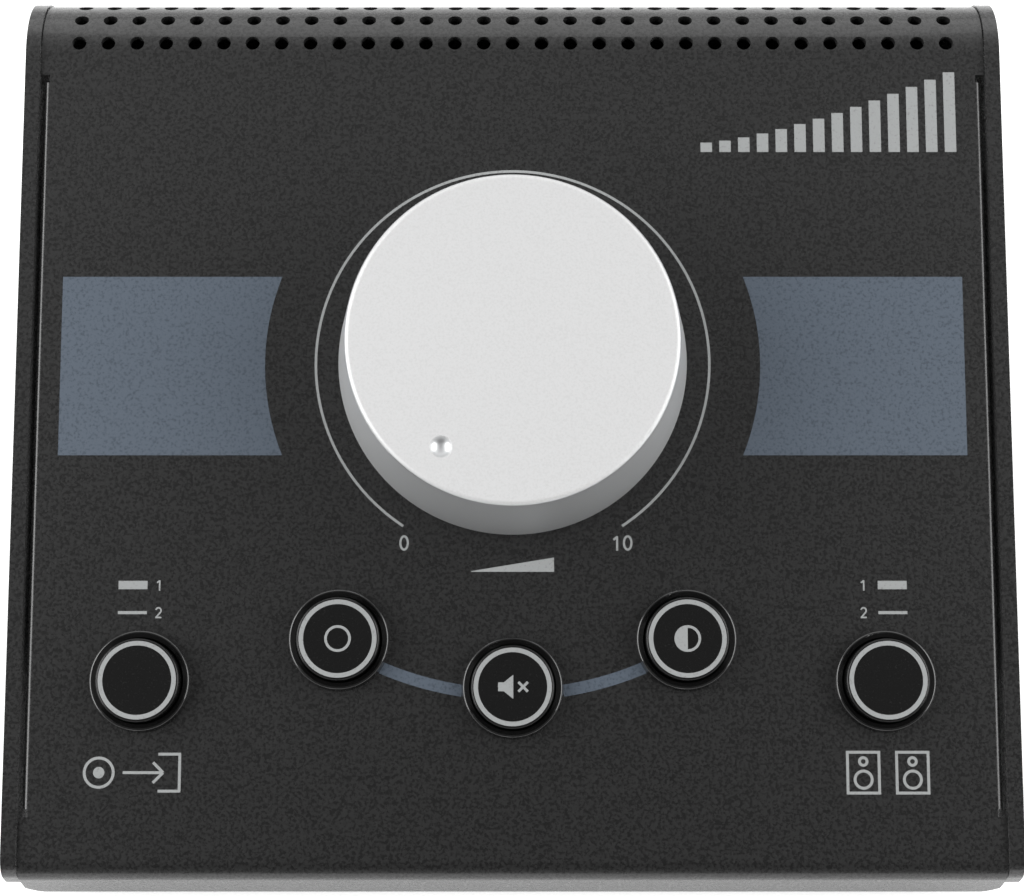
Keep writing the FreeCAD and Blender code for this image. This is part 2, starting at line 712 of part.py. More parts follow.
def make_volume_knob():
    """Hollow conical metal knob with a polished dimple as its pointer."""
    base_inner = KNOB_BASE_RADIUS - KNOB_WALL
    top_inner = KNOB_TOP_RADIUS - KNOB_WALL
    points = [
        (0, KNOB_TOP),
        (KNOB_TOP_RADIUS, KNOB_TOP),
        (KNOB_BASE_RADIUS, KNOB_GAP),
        (base_inner, KNOB_GAP),
        (top_inner, knob_roof),
        (0, knob_roof),
    ]
    radii = [0, KNOB_EDGE_ROUND, KNOB_SKIRT_ROUND, KNOB_SKIRT_ROUND, 0, 0]
    knob = turned(points, radii)
    ball = (DIMPLE_RADIUS ** 2 + DIMPLE_DEPTH ** 2) / (2 * DIMPLE_DEPTH)
    angle = math.radians(POINTER_FROM_DOWN)
    centre = Vector(
        -DIMPLE_REACH * math.sin(angle),
        -DIMPLE_REACH * math.cos(angle),
        KNOB_TOP + ball - DIMPLE_DEPTH,
    )
    return from_panel(knob.cut(Part.makeSphere(ball, centre)))


def shaft_flat_cutter(gap):
    """Cutter for the flat on the shaft's end, or for the flat left in the hub's bore."""
    flat = SHAFT_FLAT + gap
    low = shaft_top - SHAFT_FLAT_LENGTH
    return block(flat, SHAFT_RADIUS + 1, -SHAFT_RADIUS - 1, SHAFT_RADIUS + 1, low, shaft_top + 2)


def make_knob_hub():
    """Plastic insert inside the knob: disc, ribs and a boss with a D-shaped bore."""
    disc_under = knob_roof - HUB_DISC_THICKNESS
    disc_radius = KNOB_TOP_RADIUS - KNOB_WALL - HUB_EDGE_GAP
    hub = Part.makeCylinder(disc_radius, HUB_DISC_THICKNESS, Vector(0, 0, disc_under))
    boss_start = Vector(0, 0, hub_bottom)
    hub = hub.fuse(Part.makeCylinder(HUB_BOSS_RADIUS, knob_roof - hub_bottom, boss_start))
    ribs = []
    for i in range(HUB_RIB_COUNT):
        low = disc_under - HUB_RIB_HEIGHT
        half = HUB_RIB_THICKNESS / 2
        rib = block(HUB_BOSS_RADIUS - 1, disc_radius - 1, -half, half, low, disc_under)
        rib.rotate(Vector(0, 0, 0), Z_AXIS, 360 * i / HUB_RIB_COUNT)
        ribs.append(rib)
    hub = hub.fuse(ribs).removeSplitter()
    bore_height = shaft_top + HUB_BORE_GAP - hub_bottom + 1
    bore = Part.makeCylinder(SHAFT_RADIUS + HUB_BORE_GAP, bore_height, Vector(0, 0, hub_bottom - 1))
    bore = bore.cut(shaft_flat_cutter(HUB_BORE_GAP))
    return from_panel(hub.cut(bore))


def make_pot_shaft():
    """Potentiometer shaft with a flat on its end for the knob."""
    low = gang_rear_n + SHAFT_END_GAP
    shaft = Part.makeCylinder(SHAFT_RADIUS, shaft_top - low, Vector(0, 0, low))
    return from_panel(shaft.cut(shaft_flat_cutter(0)))


def make_pot_bushing():
    """Threaded bushing with the mounting plate that closes the front gang."""
    plate = centred_block(0, 0, GANG_WIDTH, GANG_HEIGHT, gang_front_n, -SHEET)
    barrel = Part.makeCylinder(BUSHING_RADIUS, BUSHING_TOP + SHEET, Vector(0, 0, -SHEET))
    bore_radius = SHAFT_RADIUS + SHAFT_RUNNING_GAP
    bore_length = BUSHING_TOP - gang_front_n + 2
    bore = Part.makeCylinder(bore_radius, bore_length, Vector(0, 0, gang_front_n - 1))
    return from_panel(plate.fuse(barrel).removeSplitter().cut(bore))


def make_pot_washer():
    """Washer between the panel and the bushing's nut."""
    return from_panel(ring(WASHER_RADIUS, BUSHING_RADIUS + NUT_THREAD_GAP, 0, WASHER_THICKNESS))


def make_pot_nut():
    """Hexagonal nut that clamps the bushing to the panel."""
    high = WASHER_THICKNESS + NUT_THICKNESS
    nut = hexagon(NUT_ACROSS_FLATS, WASHER_THICKNESS, high)
    bore = Part.makeCylinder(BUSHING_RADIUS + NUT_THREAD_GAP, high + 1)
    return from_panel(nut.cut(bore))


def gang_tops():
    """Height of the front of each gang."""
    return [gang_front_n - i * GANG_DEPTH for i in range(GANG_COUNT)]


def make_pot_gang_cases():
    """Stacked gang cases, each a cup with a floor that the shaft passes through."""
    cases = []
    for top in gang_tops():
        floor_top = top - GANG_DEPTH + GANG_FLOOR
        case = centred_block(0, 0, GANG_WIDTH, GANG_HEIGHT, top - GANG_DEPTH, top)
        case = case.cut(Part.makeCylinder(GANG_CAVITY_RADIUS, GANG_DEPTH, Vector(0, 0, floor_top)))
        hole_radius = SHAFT_RADIUS + GANG_HOLE_GAP
        hole = Part.makeCylinder(hole_radius, 2 * GANG_DEPTH, Vector(0, 0, top - 1.5 * GANG_DEPTH))
        cases.append(case.cut(hole))
    return from_panel(Part.makeCompound(cases))


def make_pot_track_wafers():
    """Resistance wafers lying on the floors of the gang cases."""
    wafers = []
    for top in gang_tops():
        low = top - GANG_DEPTH + GANG_FLOOR
        outer = GANG_CAVITY_RADIUS - WAFER_EDGE_GAP
        wafers.append(ring(outer, SHAFT_RADIUS + GANG_HOLE_GAP, low, low + WAFER_THICKNESS))
    return from_panel(Part.makeCompound(wafers))


def make_pot_wipers():
    """Wiper rotors carried round by the shaft, just above the wafers."""
    wipers = []
    for top in gang_tops():
        low = top - GANG_DEPTH + GANG_FLOOR + WAFER_THICKNESS + WIPER_LIFT
        wipers.append(ring(WIPER_RADIUS, SHAFT_RADIUS, low, low + WIPER_THICKNESS))
    return from_panel(Part.makeCompound(wipers))


def pot_pin_blocks(gap):
    """Three pins on each gang, or their holes when a gap is given."""
    pins = []
    for top in gang_tops():
        middle = top - GANG_DEPTH / 2
        for i in (-1, 0, 1):
            x = i * POT_PIN_PITCH
            half_width = POT_PIN_WIDTH / 2 + gap
            half_thickness = POT_PIN_THICKNESS / 2 + gap
            far = pot_board_front_v - POT_PIN_THICKNESS
            pins.append(
                block(
                    x - half_width,
                    x + half_width,
                    far,
                    -GANG_HEIGHT / 2,
                    middle - half_thickness,
                    middle + half_thickness,
                )
            )
    return Part.makeCompound(pins)


def make_pot_pins():
    """Contact pins from the gangs through the potentiometer's board."""
    return from_panel(pot_pin_blocks(0))


def make_pot_board():
    """Small board square to the panel that the potentiometer's pins are soldered to."""
    low = gang_rear_n - POT_BOARD_MARGIN
    high = -SHEET - POT_BOARD_MARGIN
    rear = pot_board_front_v + BOARD_THICKNESS
    half = POT_BOARD_HALF_WIDTH
    board = block(-half, half, pot_board_front_v, rear, low, high)
    return from_panel(board.cut(pot_pin_blocks(BOARD_HOLE_GAP)))


def make_bezel(x, v):
    """Glossy ring round one button, dished inside its crest, with a tube and barbs that hold it in the panel."""
    points = [
        (bezel_bore, BEZEL_LIP_HEIGHT),
        (BEZEL_CREST_RADIUS, BEZEL_CREST_HEIGHT),
        (BEZEL_FLANGE_RADIUS, 0),
        (BEZEL_TUBE_RADIUS, 0),
        (BEZEL_TUBE_RADIUS, BEZEL_TUBE_BOTTOM),
        (bezel_bore, BEZEL_TUBE_BOTTOM),
    ]
    bezel = turned(points, [BEZEL_LIP_ROUND, BEZEL_CREST_ROUND, 0, 0, 0, 0])
    barbs = []
    barb_top = -SHEET - THREAD_GAP
    for i in range(BEZEL_BARB_COUNT):
        start = (bezel_bore + BEZEL_TUBE_RADIUS) / 2
        end = BEZEL_TUBE_RADIUS + BEZEL_BARB_REACH
        half = BEZEL_BARB_WIDTH / 2
        barb = block(start, end, -half, half, barb_top - BEZEL_BARB_HEIGHT, barb_top)
        barb.rotate(Vector(0, 0, 0), Z_AXIS, 360 * i / BEZEL_BARB_COUNT)
        barbs.append(barb)
    return from_panel(moved(bezel.fuse(barbs).removeSplitter(), x, v))


def make_cap(x, v):
    """Button cap: a cup with a boss whose square socket takes the switch's stem."""
    roof = CAP_TOP - CAP_ROOF
    points = [
        (0, CAP_TOP),
        (CAP_RADIUS, CAP_TOP),
        (CAP_RADIUS, cap_bottom_n),
        (CAP_RADIUS - CAP_WALL, cap_bottom_n),
        (CAP_RADIUS - CAP_WALL, roof),
        (CAP_BOSS_RADIUS, roof),
        (CAP_BOSS_RADIUS, cap_bottom_n),
        (0, cap_bottom_n),
    ]
    cap = turned(points, [0, CAP_EDGE_ROUND, 0, 0, 0, 0, 0, 0])
    socket = centred_block(0, 0, STEM_WIDTH, STEM_WIDTH, cap_bottom_n - 1, STEM_TOP)
    return from_panel(moved(cap.cut(socket), x, v))


def make_plunger(x, v):
    """Switch stem with a square foot that the spring pushes against."""
    stem = centred_block(x, v, STEM_WIDTH, STEM_WIDTH, stem_foot_under_n, STEM_TOP)
    foot = centred_block(x, v, STEM_FOOT_WIDTH, STEM_FOOT_WIDTH, stem_foot_under_n, stem_foot_top_n)
    return from_panel(stem.fuse(foot).removeSplitter())


def make_switch(x, v):
    """Switch housing: a box on the board with a well for the stem's foot and the spring."""
    housing = centred_block(x, v, SWITCH_WIDTH, SWITCH_WIDTH, board_top_n, switch_top_n)
    well_width = STEM_FOOT_WIDTH + 2 * STEM_SLIDE_GAP
    well_top = switch_top_n - SWITCH_ROOF
    well = centred_block(x, v, well_width, well_width, switch_floor_n, well_top)
    mouth_width = STEM_WIDTH + 2 * STEM_SLIDE_GAP
    mouth = centred_block(x, v, mouth_width, mouth_width, switch_floor_n, switch_top_n + 1)
    return from_panel(housing.cut(well.fuse(mouth)))


def make_spring(x, v):
    """Return spring under the stem, as a thin sleeve of the coil's size."""
    inner = SPRING_RADIUS - SPRING_WALL
    sleeve = ring(SPRING_RADIUS, inner, switch_floor_n, stem_foot_under_n)
    return from_panel(moved(sleeve, x, v))


def switch_pin_places():
    """Centres of the two rows of three pins under each switch."""
    places = []
    for x, v in button_places.values():
        for i in (-1, 0, 1):
            for side in (-1, 1):
                places.append((x + i * SWITCH_PIN_PITCH, v + side * SWITCH_PIN_PITCH))
    return places


def make_switch_pins():
    """Contact pins from the switches down through the control board."""
    pins = []
    for x, v in switch_pin_places():
        low = board_under_n - SWITCH_PIN_DROP
        pins.append(centred_block(x, v, SWITCH_PIN_WIDTH, SWITCH_PIN_WIDTH, low, board_top_n))
    return from_panel(Part.makeCompound(pins))


def standoff_places():
    """Centres of the standoffs: two near the board's rear corners, two near its front edge."""
    rear_x = control_board_half_width - STANDOFF_SIDE_INSET
    rear_v = control_board_rear - STANDOFF_REAR_INSET
    front_x = (selector_x + MODE_BUTTON_SPREAD) / 2
    front_v = control_board_front + STANDOFF_FRONT_INSET
    return [(-rear_x, rear_v), (rear_x, rear_v), (-front_x, front_v), (front_x, front_v)]


def make_control_board():
    """Circuit board that carries the switches, with a tongue to the potentiometer's board."""
    front = control_board_front
    half = control_board_half_width
    board = block(-half, half, front, control_board_rear, board_under_n, board_top_n)
    half = CONTROL_TONGUE_HALF_WIDTH
    tongue_end = pot_board_front_v - CONTROL_TONGUE_GAP
    tongue = block(-half, half, front, tongue_end, board_under_n, board_top_n)
    board = board.fuse(tongue).removeSplitter()
    holes = []
    for x, v in switch_pin_places():
        width = SWITCH_PIN_WIDTH + 2 * BOARD_HOLE_GAP
        holes.append(centred_block(x, v, width, width, board_under_n - 1, board_top_n + 1))
    for x, v in standoff_places():
        start = Vector(x, v, board_under_n - 1)
        holes.append(Part.makeCylinder(SCREW_RADIUS + SCREW_HOLE_GAP, BOARD_THICKNESS + 2, start))
    return from_panel(board.cut(Part.makeCompound(holes)))


def make_board_standoffs():
    """Threaded standoffs pressed into the underside of the panel."""
    posts = []
    for x, v in standoff_places():
        post = ring(STANDOFF_RADIUS, SCREW_RADIUS + THREAD_GAP, board_top_n, -SHEET)
        posts.append(moved(post, x, v))
    return from_panel(Part.makeCompound(posts))


def make_board_screws():
    """Screws that hold the control board up against its standoffs."""
    length = BOARD_SCREW_LENGTH + BOARD_THICKNESS
    screw = pan_screw(SCREW_RADIUS, length, SCREW_HEAD_RADIUS, SCREW_HEAD_HEIGHT)
    screws = []
    for x, v in standoff_places():
        screws.append(facing(screw, -Z_AXIS, x, v, board_under_n))
    return from_panel(Part.makeCompound(screws))


def make_board_resistors():
    """Small resistors of the dim pad, beside the mono and dim switches."""
    width, length, height = RESISTOR_SIZE
    parts = []
    for column in range(RESISTOR_COLUMNS):
        for row in range(RESISTOR_ROWS):
            x = RESISTOR_START_X + column * RESISTOR_PITCH[0]
            v = control_board_rear - RESISTOR_REAR_INSET + row * RESISTOR_PITCH[1]
            parts.append(centred_block(x, v, width, length, board_top_n, board_top_n + height))
    return from_panel(Part.makeCompound(parts))


def socket_solid(width, height, length, thread, reach, bore, bore_length):
    """Socket drawn about +z with z = 0 on the outside of the wall: body, threaded nose, bore."""
    body = centred_block(0, 0, width, height, -SHEET - length, -SHEET)
    nose = turned(
        [(0, -SHEET), (thread, -SHEET), (thread, reach - JACK_EDGE_CHAMFER)]
        + [(thread - JACK_EDGE_CHAMFER, reach), (0, reach)],
        [0] * 5,
    )
    solid = body.fuse(nose).removeSplitter()
    return solid.cut(Part.makeCylinder(bore, bore_length + 1, Vector(0, 0, reach - bore_length)))


def make_jacks(x):
    """The two sockets of one column, left above right."""
    jack = socket_solid(
        JACK_BODY_WIDTH,
        JACK_BODY_HEIGHT,
        JACK_BODY_LENGTH,
        JACK_THREAD_RADIUS,
        JACK_THREAD_REACH,
        JACK_BORE_RADIUS,
        JACK_BORE_LENGTH,
    )
    return Part.makeCompound([facing(jack, Y_AXIS, x, wall_y, z) for z in jack_rows])


def make_mini_jack():
    """The small stereo socket between the two groups."""
    jack = socket_solid(
        MINI_BODY_WIDTH,
        MINI_BODY_HEIGHT,
        MINI_BODY_LENGTH,
        MINI_THREAD_RADIUS,
        MINI_THREAD_REACH,
        MINI_BORE_RADIUS,
        MINI_BORE_LENGTH,
    )
    return facing(jack, Y_AXIS, MINI_X, wall_y, mini_z)


def make_jack_nuts():
    """Nuts on the noses of all the sockets."""
    nut = hexagon(JACK_NUT_ACROSS_FLATS, 0, JACK_NUT_THICKNESS)
    hole = Part.makeCylinder(JACK_THREAD_RADIUS + NUT_THREAD_GAP, JACK_NUT_THICKNESS + 1)
    nut = nut.cut(hole)
    nuts = []
    for x in jack_columns.values():
        for z in jack_rows:
            nuts.append(facing(nut, Y_AXIS, x, wall_y, z))
    small = ring(MINI_NUT_RADIUS, MINI_THREAD_RADIUS + NUT_THREAD_GAP, 0, MINI_NUT_THICKNESS)
    nuts.append(facing(small, Y_AXIS, MINI_X, wall_y, mini_z))
    return Part.makeCompound(nuts)


def jack_pin_places():
    """Centres of the three pins behind each large socket."""
    places = []
    for x in jack_columns.values():
        for z in jack_rows:
            for i in (-1, 0, 1):
                places.append((x + i * JACK_PIN_SPREAD, z))
    return places


def mini_lead_places():
    """Centres of the three leads behind the small socket."""
    return [(MINI_X + i * MINI_LEAD_SPREAD, mini_z) for i in (-1, 0, 1)]


def make_jack_pins():
    """Contact pins from the large sockets through the socket board."""
    start_y = jack_board_rear_y + JACK_BOARD_GAP
    pins = []
    for x, z in jack_pin_places():
        start = Vector(x, start_y, z)
        pins.append(Part.makeCylinder(JACK_PIN_RADIUS, JACK_PIN_REACH, start, -Y_AXIS))
    return Part.makeCompound(pins)


def make_mini_jack_leads():
    """Three short wires from the small socket to the socket board."""
    start_y = wall_y - SHEET - MINI_BODY_LENGTH
    leads = []
    for x, z in mini_lead_places():
        length = start_y - jack_board_rear_y
        leads.append(Part.makeCylinder(MINI_LEAD_RADIUS, length, Vector(x, start_y, z), -Y_AXIS))
    return Part.makeCompound(leads)


def make_jack_board():
    """Upright circuit board that joins all the sockets."""
    half = jack_board_half_width
    board = block(
        -half,
        half,
        jack_board_front_y,
        jack_board_rear_y,
        tray_top_z + JACK_BOARD_FLOOR_GAP,
        jack_rows[0] + JACK_BOARD_ABOVE_ROW,
    )
    holes = []
    for x, z in jack_pin_places():
        start = Vector(x, jack_board_rear_y + 1, z)
        radius = JACK_PIN_RADIUS + BOARD_HOLE_GAP
        holes.append(Part.makeCylinder(radius, BOARD_THICKNESS + 2, start, -Y_AXIS))
    return board.cut(Part.makeCompound(holes))


def ribbon_start_n():
    """Height of the middle of the ribbon where it leaves the control board."""
    return board_top_n + HEADER_HEIGHT + PLUG_HEIGHT / 2


def ribbon_end_y():
    """Depth at which the ribbon meets its plug on the socket board."""
    return jack_board_front_y - HEADER_HEIGHT - PLUG_HEIGHT


def make_ribbon_cable():
    """Flat cable from the control board, up the slope and back to the socket board."""
    start = PANEL_IN_CASE.multVec(Vector(0, ribbon_start_v + PLUG_DEPTH / 2, ribbon_start_n()))
    rise = PANEL_IN_CASE.multVec(Vector(0, RIBBON_RISE_V, ribbon_start_n()))
    end = Vector(0, ribbon_end_y(), mini_z)
    turn = Vector(0, ribbon_end_y() - RIBBON_END_RUN, mini_z)
    path = [start, rise, turn, end]
    radii = [0, RIBBON_BEND, RIBBON_BEND, 0]
    path = shifted_path(path, -RIBBON_THICKNESS / 2, X_AXIS)
    ribbon = folded_sheet(path, radii, RIBBON_THICKNESS, X_AXIS, RIBBON_WIDTH)
    return moved(ribbon, RIBBON_X, 0)


def make_ribbon_plugs():
    """Board headers and the plugs at both ends of the ribbon cable."""
    x = RIBBON_X
    low = board_top_n
    middle = low + HEADER_HEIGHT
    header = centred_block(x, ribbon_start_v, PLUG_WIDTH, PLUG_DEPTH, low, middle)
    plug = centred_block(x, ribbon_start_v, PLUG_WIDTH, PLUG_DEPTH, middle, middle + PLUG_HEIGHT)
    half = PLUG_WIDTH / 2
    face = jack_board_front_y
    step = face - HEADER_HEIGHT
    low_z = mini_z - PLUG_DEPTH / 2
    high_z = mini_z + PLUG_DEPTH / 2
    rear_header = block(x - half, x + half, step, face, low_z, high_z)
    rear_plug = block(x - half, x + half, ribbon_end_y(), step, low_z, high_z)
    return Part.makeCompound([from_panel(header), from_panel(plug), rear_header, rear_plug])


def all_parts():
    """Every sub-part by its node's name, in the case frame."""
    parts = {
        "top_cover": make_top_cover(),
        "base_tray": make_base_tray(),
        "left_cheek": make_cheek(-1),
        "right_cheek": make_cheek(1),
        "cheek_screws": make_cheek_screws(),
        "base_screws": make_base_screws(),
        "rear_screws": make_rear_screws(),
        "rubber_feet": make_rubber_feet(),
        "volume_knob": make_volume_knob(),
        "knob_hub": make_knob_hub(),
        "pot_shaft": make_pot_shaft(),
        "pot_wipers": make_pot_wipers(),
        "pot_bushing": make_pot_bushing(),
        "pot_washer": make_pot_washer(),
        "pot_nut": make_pot_nut(),
        "pot_gang_cases": make_pot_gang_cases(),
        "pot_track_wafers": make_pot_track_wafers(),
        "pot_pins": make_pot_pins(),
        "pot_board": make_pot_board(),
        "switch_pins": make_switch_pins(),
        "control_board": make_control_board(),
        "board_standoffs": make_board_standoffs(),
        "board_screws": make_board_screws(),
        "board_resistors": make_board_resistors(),
        "jack_board": make_jack_board(),
        "jack_nuts": make_jack_nuts(),
        "jack_pins": make_jack_pins(),
        "mini_jack": make_mini_jack(),
        "mini_jack_leads": make_mini_jack_leads(),
        "ribbon_cable": make_ribbon_cable(),
        "ribbon_plugs": make_ribbon_plugs(),
    }
    for name, (x, v) in button_places.items():
        parts[name + "_bezel"] = make_bezel(x, v)
        parts[name + "_button"] = make_cap(x, v)
        parts[name + "_plunger"] = make_plunger(x, v)
        parts[name + "_switch"] = make_switch(x, v)
        parts[name + "_spring"] = make_spring(x, v)
    for name, x in jack_columns.items():
        parts[name] = make_jacks(x)
    return parts


os.makedirs("parts", exist_ok=True)
for node, shape in all_parts().items():
    placed = shape.copy()
    placed.Placement = CASE_FRAME.multiply(placed.Placement)
    placed.exportStep("parts/" + node + ".step")
    print(node, len(placed.Solids), "solids", round(placed.Volume, 2), "mm3", placed.isValid())
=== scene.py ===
# %% [markdown]
# # A studio monitor controller
# The object is a small desktop box of folded steel. One big aluminium knob sets the
# loudness, five round push buttons choose the source, the loudspeakers and the listening
# mode, and the sockets sit on the back wall, out of the photograph's sight.
# The construction model already has every piece in its real size and place. It is loaded
# as a fixed frame in metres, so this lesson never moves or resizes it. It adds what a
# construction model can't hold: paint, print, plating, polish and light, and five coil
# springs in place of the plain sleeves that the model has for them.
# %% Load the construction model
import json
import math
import bpy
import numpy as np
from mathutils import Matrix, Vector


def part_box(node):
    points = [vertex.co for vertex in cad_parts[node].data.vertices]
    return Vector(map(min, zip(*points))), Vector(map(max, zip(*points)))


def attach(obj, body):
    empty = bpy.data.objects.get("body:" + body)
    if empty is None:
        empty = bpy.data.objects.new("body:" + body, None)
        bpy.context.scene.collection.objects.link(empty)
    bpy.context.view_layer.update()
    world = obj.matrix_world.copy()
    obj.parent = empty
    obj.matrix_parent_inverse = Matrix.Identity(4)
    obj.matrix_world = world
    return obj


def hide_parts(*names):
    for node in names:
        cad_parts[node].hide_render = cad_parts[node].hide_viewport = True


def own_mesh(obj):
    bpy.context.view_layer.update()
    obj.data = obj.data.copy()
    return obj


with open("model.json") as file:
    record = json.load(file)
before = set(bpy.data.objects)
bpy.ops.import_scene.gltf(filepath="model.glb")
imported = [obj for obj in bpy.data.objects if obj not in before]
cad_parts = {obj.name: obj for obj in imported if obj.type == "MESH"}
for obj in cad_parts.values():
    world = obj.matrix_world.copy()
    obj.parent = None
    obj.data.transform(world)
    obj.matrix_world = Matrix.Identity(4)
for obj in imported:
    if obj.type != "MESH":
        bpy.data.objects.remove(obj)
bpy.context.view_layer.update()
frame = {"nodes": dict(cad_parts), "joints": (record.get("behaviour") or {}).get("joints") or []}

# %% [markdown]
# ## Where the sloped panel is
# Everything that shows in the photograph lies on or near the sloped panel, so places are
# easiest to give as a drawing on it: so far across, so far up the slope, so far out of it.
# The knob's hinge already holds that plane: its point is where the knob's axis meets the
# panel, and its axis is the panel's outward direction. One cross product gives the third
# direction, so no size of the case is repeated here.
# %% Panel coordinates
MM = 0.001
knob_hinge = next(j for j in frame["joints"] if j["name"] == "volume_turn")
knob_point = np.array(knob_hinge["pos_m"])
outward = np.array(knob_hinge["axis"])
across = np.array([1.0, 0.0, 0.0])
up_slope = np.cross(outward, across)


def on_plane(origin, right, up):
    """A drawing plane as (origin, axes): its third axis is right crossed with up."""
    return np.asarray(origin, float), np.array([right, up, np.cross(right, up)])


def to_world(plane, points):
    """World metres of drawing points in millimetres: origin plus each number times its axis."""
    origin, axes = plane
    return origin + np.asarray(points, float) @ axes * MM


def to_drawing(plane, points):
    """Drawing millimetres of world points: the reverse of to_world, as the axes are square."""
    origin, axes = plane
    return (np.asarray(points, float) - origin) @ axes.T / MM


panel = on_plane(knob_point, across, up_slope)
print("The panel slopes", round(math.degrees(math.asin(-outward[1])), 2), "degrees")

# %% [markdown]
# ## The camera
# The photograph was taken from above the front edge with a long lens. Its camera was
# worked out from the printed dial and the two printed blocks. A circle and the corners of
# two mirrored shapes on one plane fix the eye's place on the panel's own axes, the tilt
# away from looking square at the panel, and the focal length in the picture's pixels.
# The dial's width, taken as 64 mm, sets the scale.
# The Standard view shows each colour at the brightness that the light really gives it,
# so the paints and metals below can be set by comparing tones with the photograph.
# %% Set the camera
EYE_IN_PANEL = (-0.1, -65.41, 357.0)
CAMERA_TILT = math.radians(8.191)
FOCAL_PIXELS = 2229.17
PICTURE_WIDTH = 1024
SENSOR_WIDTH = 36.0
NEAREST_SEEN = 0.01

camera_data = bpy.data.cameras.new("camera")
camera_data.sensor_fit = "HORIZONTAL"
camera_data.sensor_width = SENSOR_WIDTH
camera_data.lens = FOCAL_PIXELS / PICTURE_WIDTH * SENSOR_WIDTH
camera_data.clip_start = NEAREST_SEEN
camera = bpy.data.objects.new("camera", camera_data)
bpy.context.scene.collection.objects.link(camera)
camera_up = math.cos(CAMERA_TILT) * up_slope + math.sin(CAMERA_TILT) * outward
camera_back = math.cos(CAMERA_TILT) * outward - math.sin(CAMERA_TILT) * up_slope
camera_place = np.eye(4)
camera_place[:3, :3] = np.array([across, camera_up, camera_back]).T
camera_place[:3, 3] = to_world(panel, EYE_IN_PANEL)
camera.matrix_world = Matrix(camera_place.tolist())
bpy.context.scene.camera = camera
bpy.context.scene.view_settings.view_transform = "Standard"
print("Lens", round(camera_data.lens, 2), "mm, eye at", camera_place[:3, 3].round(4))

# %% [markdown]
# ## Shader nodes in a few words
# A material is a small network. Writing each node as four lines hides what it does, so
# one helper makes a node, sets its options and fills its inputs. An input is given
# either a plain value or another node's output, which is then linked.
# %% Helper for shader nodes
def put(tree, kind, inputs=None, **options):
    """Makes one node. Inputs are keyed by socket name or number; outputs given are linked."""
    made = tree.nodes.new(kind)
    for name, value in options.items():
        setattr(made, name, value)
    for name, value in (inputs or {}).items():
        if isinstance(value, bpy.types.NodeSocket):
            tree.links.new(value, made.inputs[name])
        else:
            made.inputs[name].default_value = value
    return made


def grey(level, tint=(1.0, 1.0, 1.0)):
    """Opaque linear colour of one brightness, lightly tinted."""
    return (level * tint[0], level * tint[1], level * tint[2], 1.0)


# %% [markdown]
# ## The stage
# The photograph is a product shot on white. A pale floor takes the object's soft shadow.
# For rays that come from the camera, a little light of its own lifts the floor to white,
# and the world behind is white in the same way, so the background is white without more
# light falling on the object. Seen in metal or gloss the floor is lifted less, or a
# pale metal would burn out. The room's light comes from all round but not from where the
# camera stands: a photographer hangs a black flag there, and that is what keeps the
# polished black caps black.
# %% Floor and world
FLOOR_HALF = 3.0
FLOOR_WHITE = 0.80
FLOOR_LIFT = 0.60
MIRROR_LIFT = 0.20
ROOM_LEVEL = 0.85
FLAG_LEVEL = 0.05
FLAG_DIRECTION = (0.0, -0.60, 0.80)
FLAG_EDGE = 0.25

floor_mesh = bpy.data.meshes.new("floor")
corners = np.array([[-1, -1, 0], [1, -1, 0], [1, 1, 0], [-1, 1, 0]]) * FLOOR_HALF
floor_mesh.from_pydata(corners.tolist(), [], [[0, 1, 2, 3]])
floor = bpy.data.objects.new("floor", floor_mesh)
bpy.context.scene.collection.objects.link(floor)

floor_paint = bpy.data.materials.new("floor_paint")
floor_paint.use_nodes = True
tree = floor_paint.node_tree
tree.nodes.clear()
matt = put(tree, "ShaderNodeBsdfDiffuse", {"Color": grey(FLOOR_WHITE)})
path = put(tree, "ShaderNodeLightPath")
mirrored = put(
    tree,
    "ShaderNodeMath",
    {0: path.outputs["Is Glossy Ray"], 1: MIRROR_LIFT},
    operation="MULTIPLY",
)
lift = put(
    tree,
    "ShaderNodeMath",
    {0: path.outputs["Is Camera Ray"], 1: FLOOR_LIFT, 2: mirrored.outputs[0]},
    operation="MULTIPLY_ADD",
)
glow = put(tree, "ShaderNodeEmission", {"Color": grey(1.0), "Strength": lift.outputs[0]})
both = put(tree, "ShaderNodeAddShader", {0: matt.outputs[0], 1: glow.outputs[0]})
put(tree, "ShaderNodeOutputMaterial", {"Surface": both.outputs[0]})
floor_mesh.materials.append(floor_paint)

world = bpy.data.worlds.new("world")
bpy.context.scene.world = world
world.use_nodes = True
tree = world.node_tree
tree.nodes.clear()
path = put(tree, "ShaderNodeLightPath")
direction = put(tree, "ShaderNodeTexCoord")
towards_flag = put(
    tree,
    "ShaderNodeVectorMath",
    {0: direction.outputs["Generated"], 1: FLAG_DIRECTION},
    operation="DOT_PRODUCT",
)
room = put(
    tree,
    "ShaderNodeMapRange",
    {
        "Value": towards_flag.outputs["Value"],
        "From Min": FLAG_EDGE,
        "To Min": ROOM_LEVEL,
        "To Max": FLAG_LEVEL,
    },
)
level = put(
    tree,
    "ShaderNodeMapRange",
    {"Value": path.outputs["Is Camera Ray"], "To Min": room.outputs[0], "To Max": 1.0},
)
sky = put(tree, "ShaderNodeBackground", {"Color": grey(1.0), "Strength": level.outputs[0]})
put(tree, "ShaderNodeOutputWorld", {"Surface": sky.outputs[0]})
print("White floor", 2 * FLOOR_HALF, "m wide, room light", FLAG_LEVEL, "to", ROOM_LEVEL)

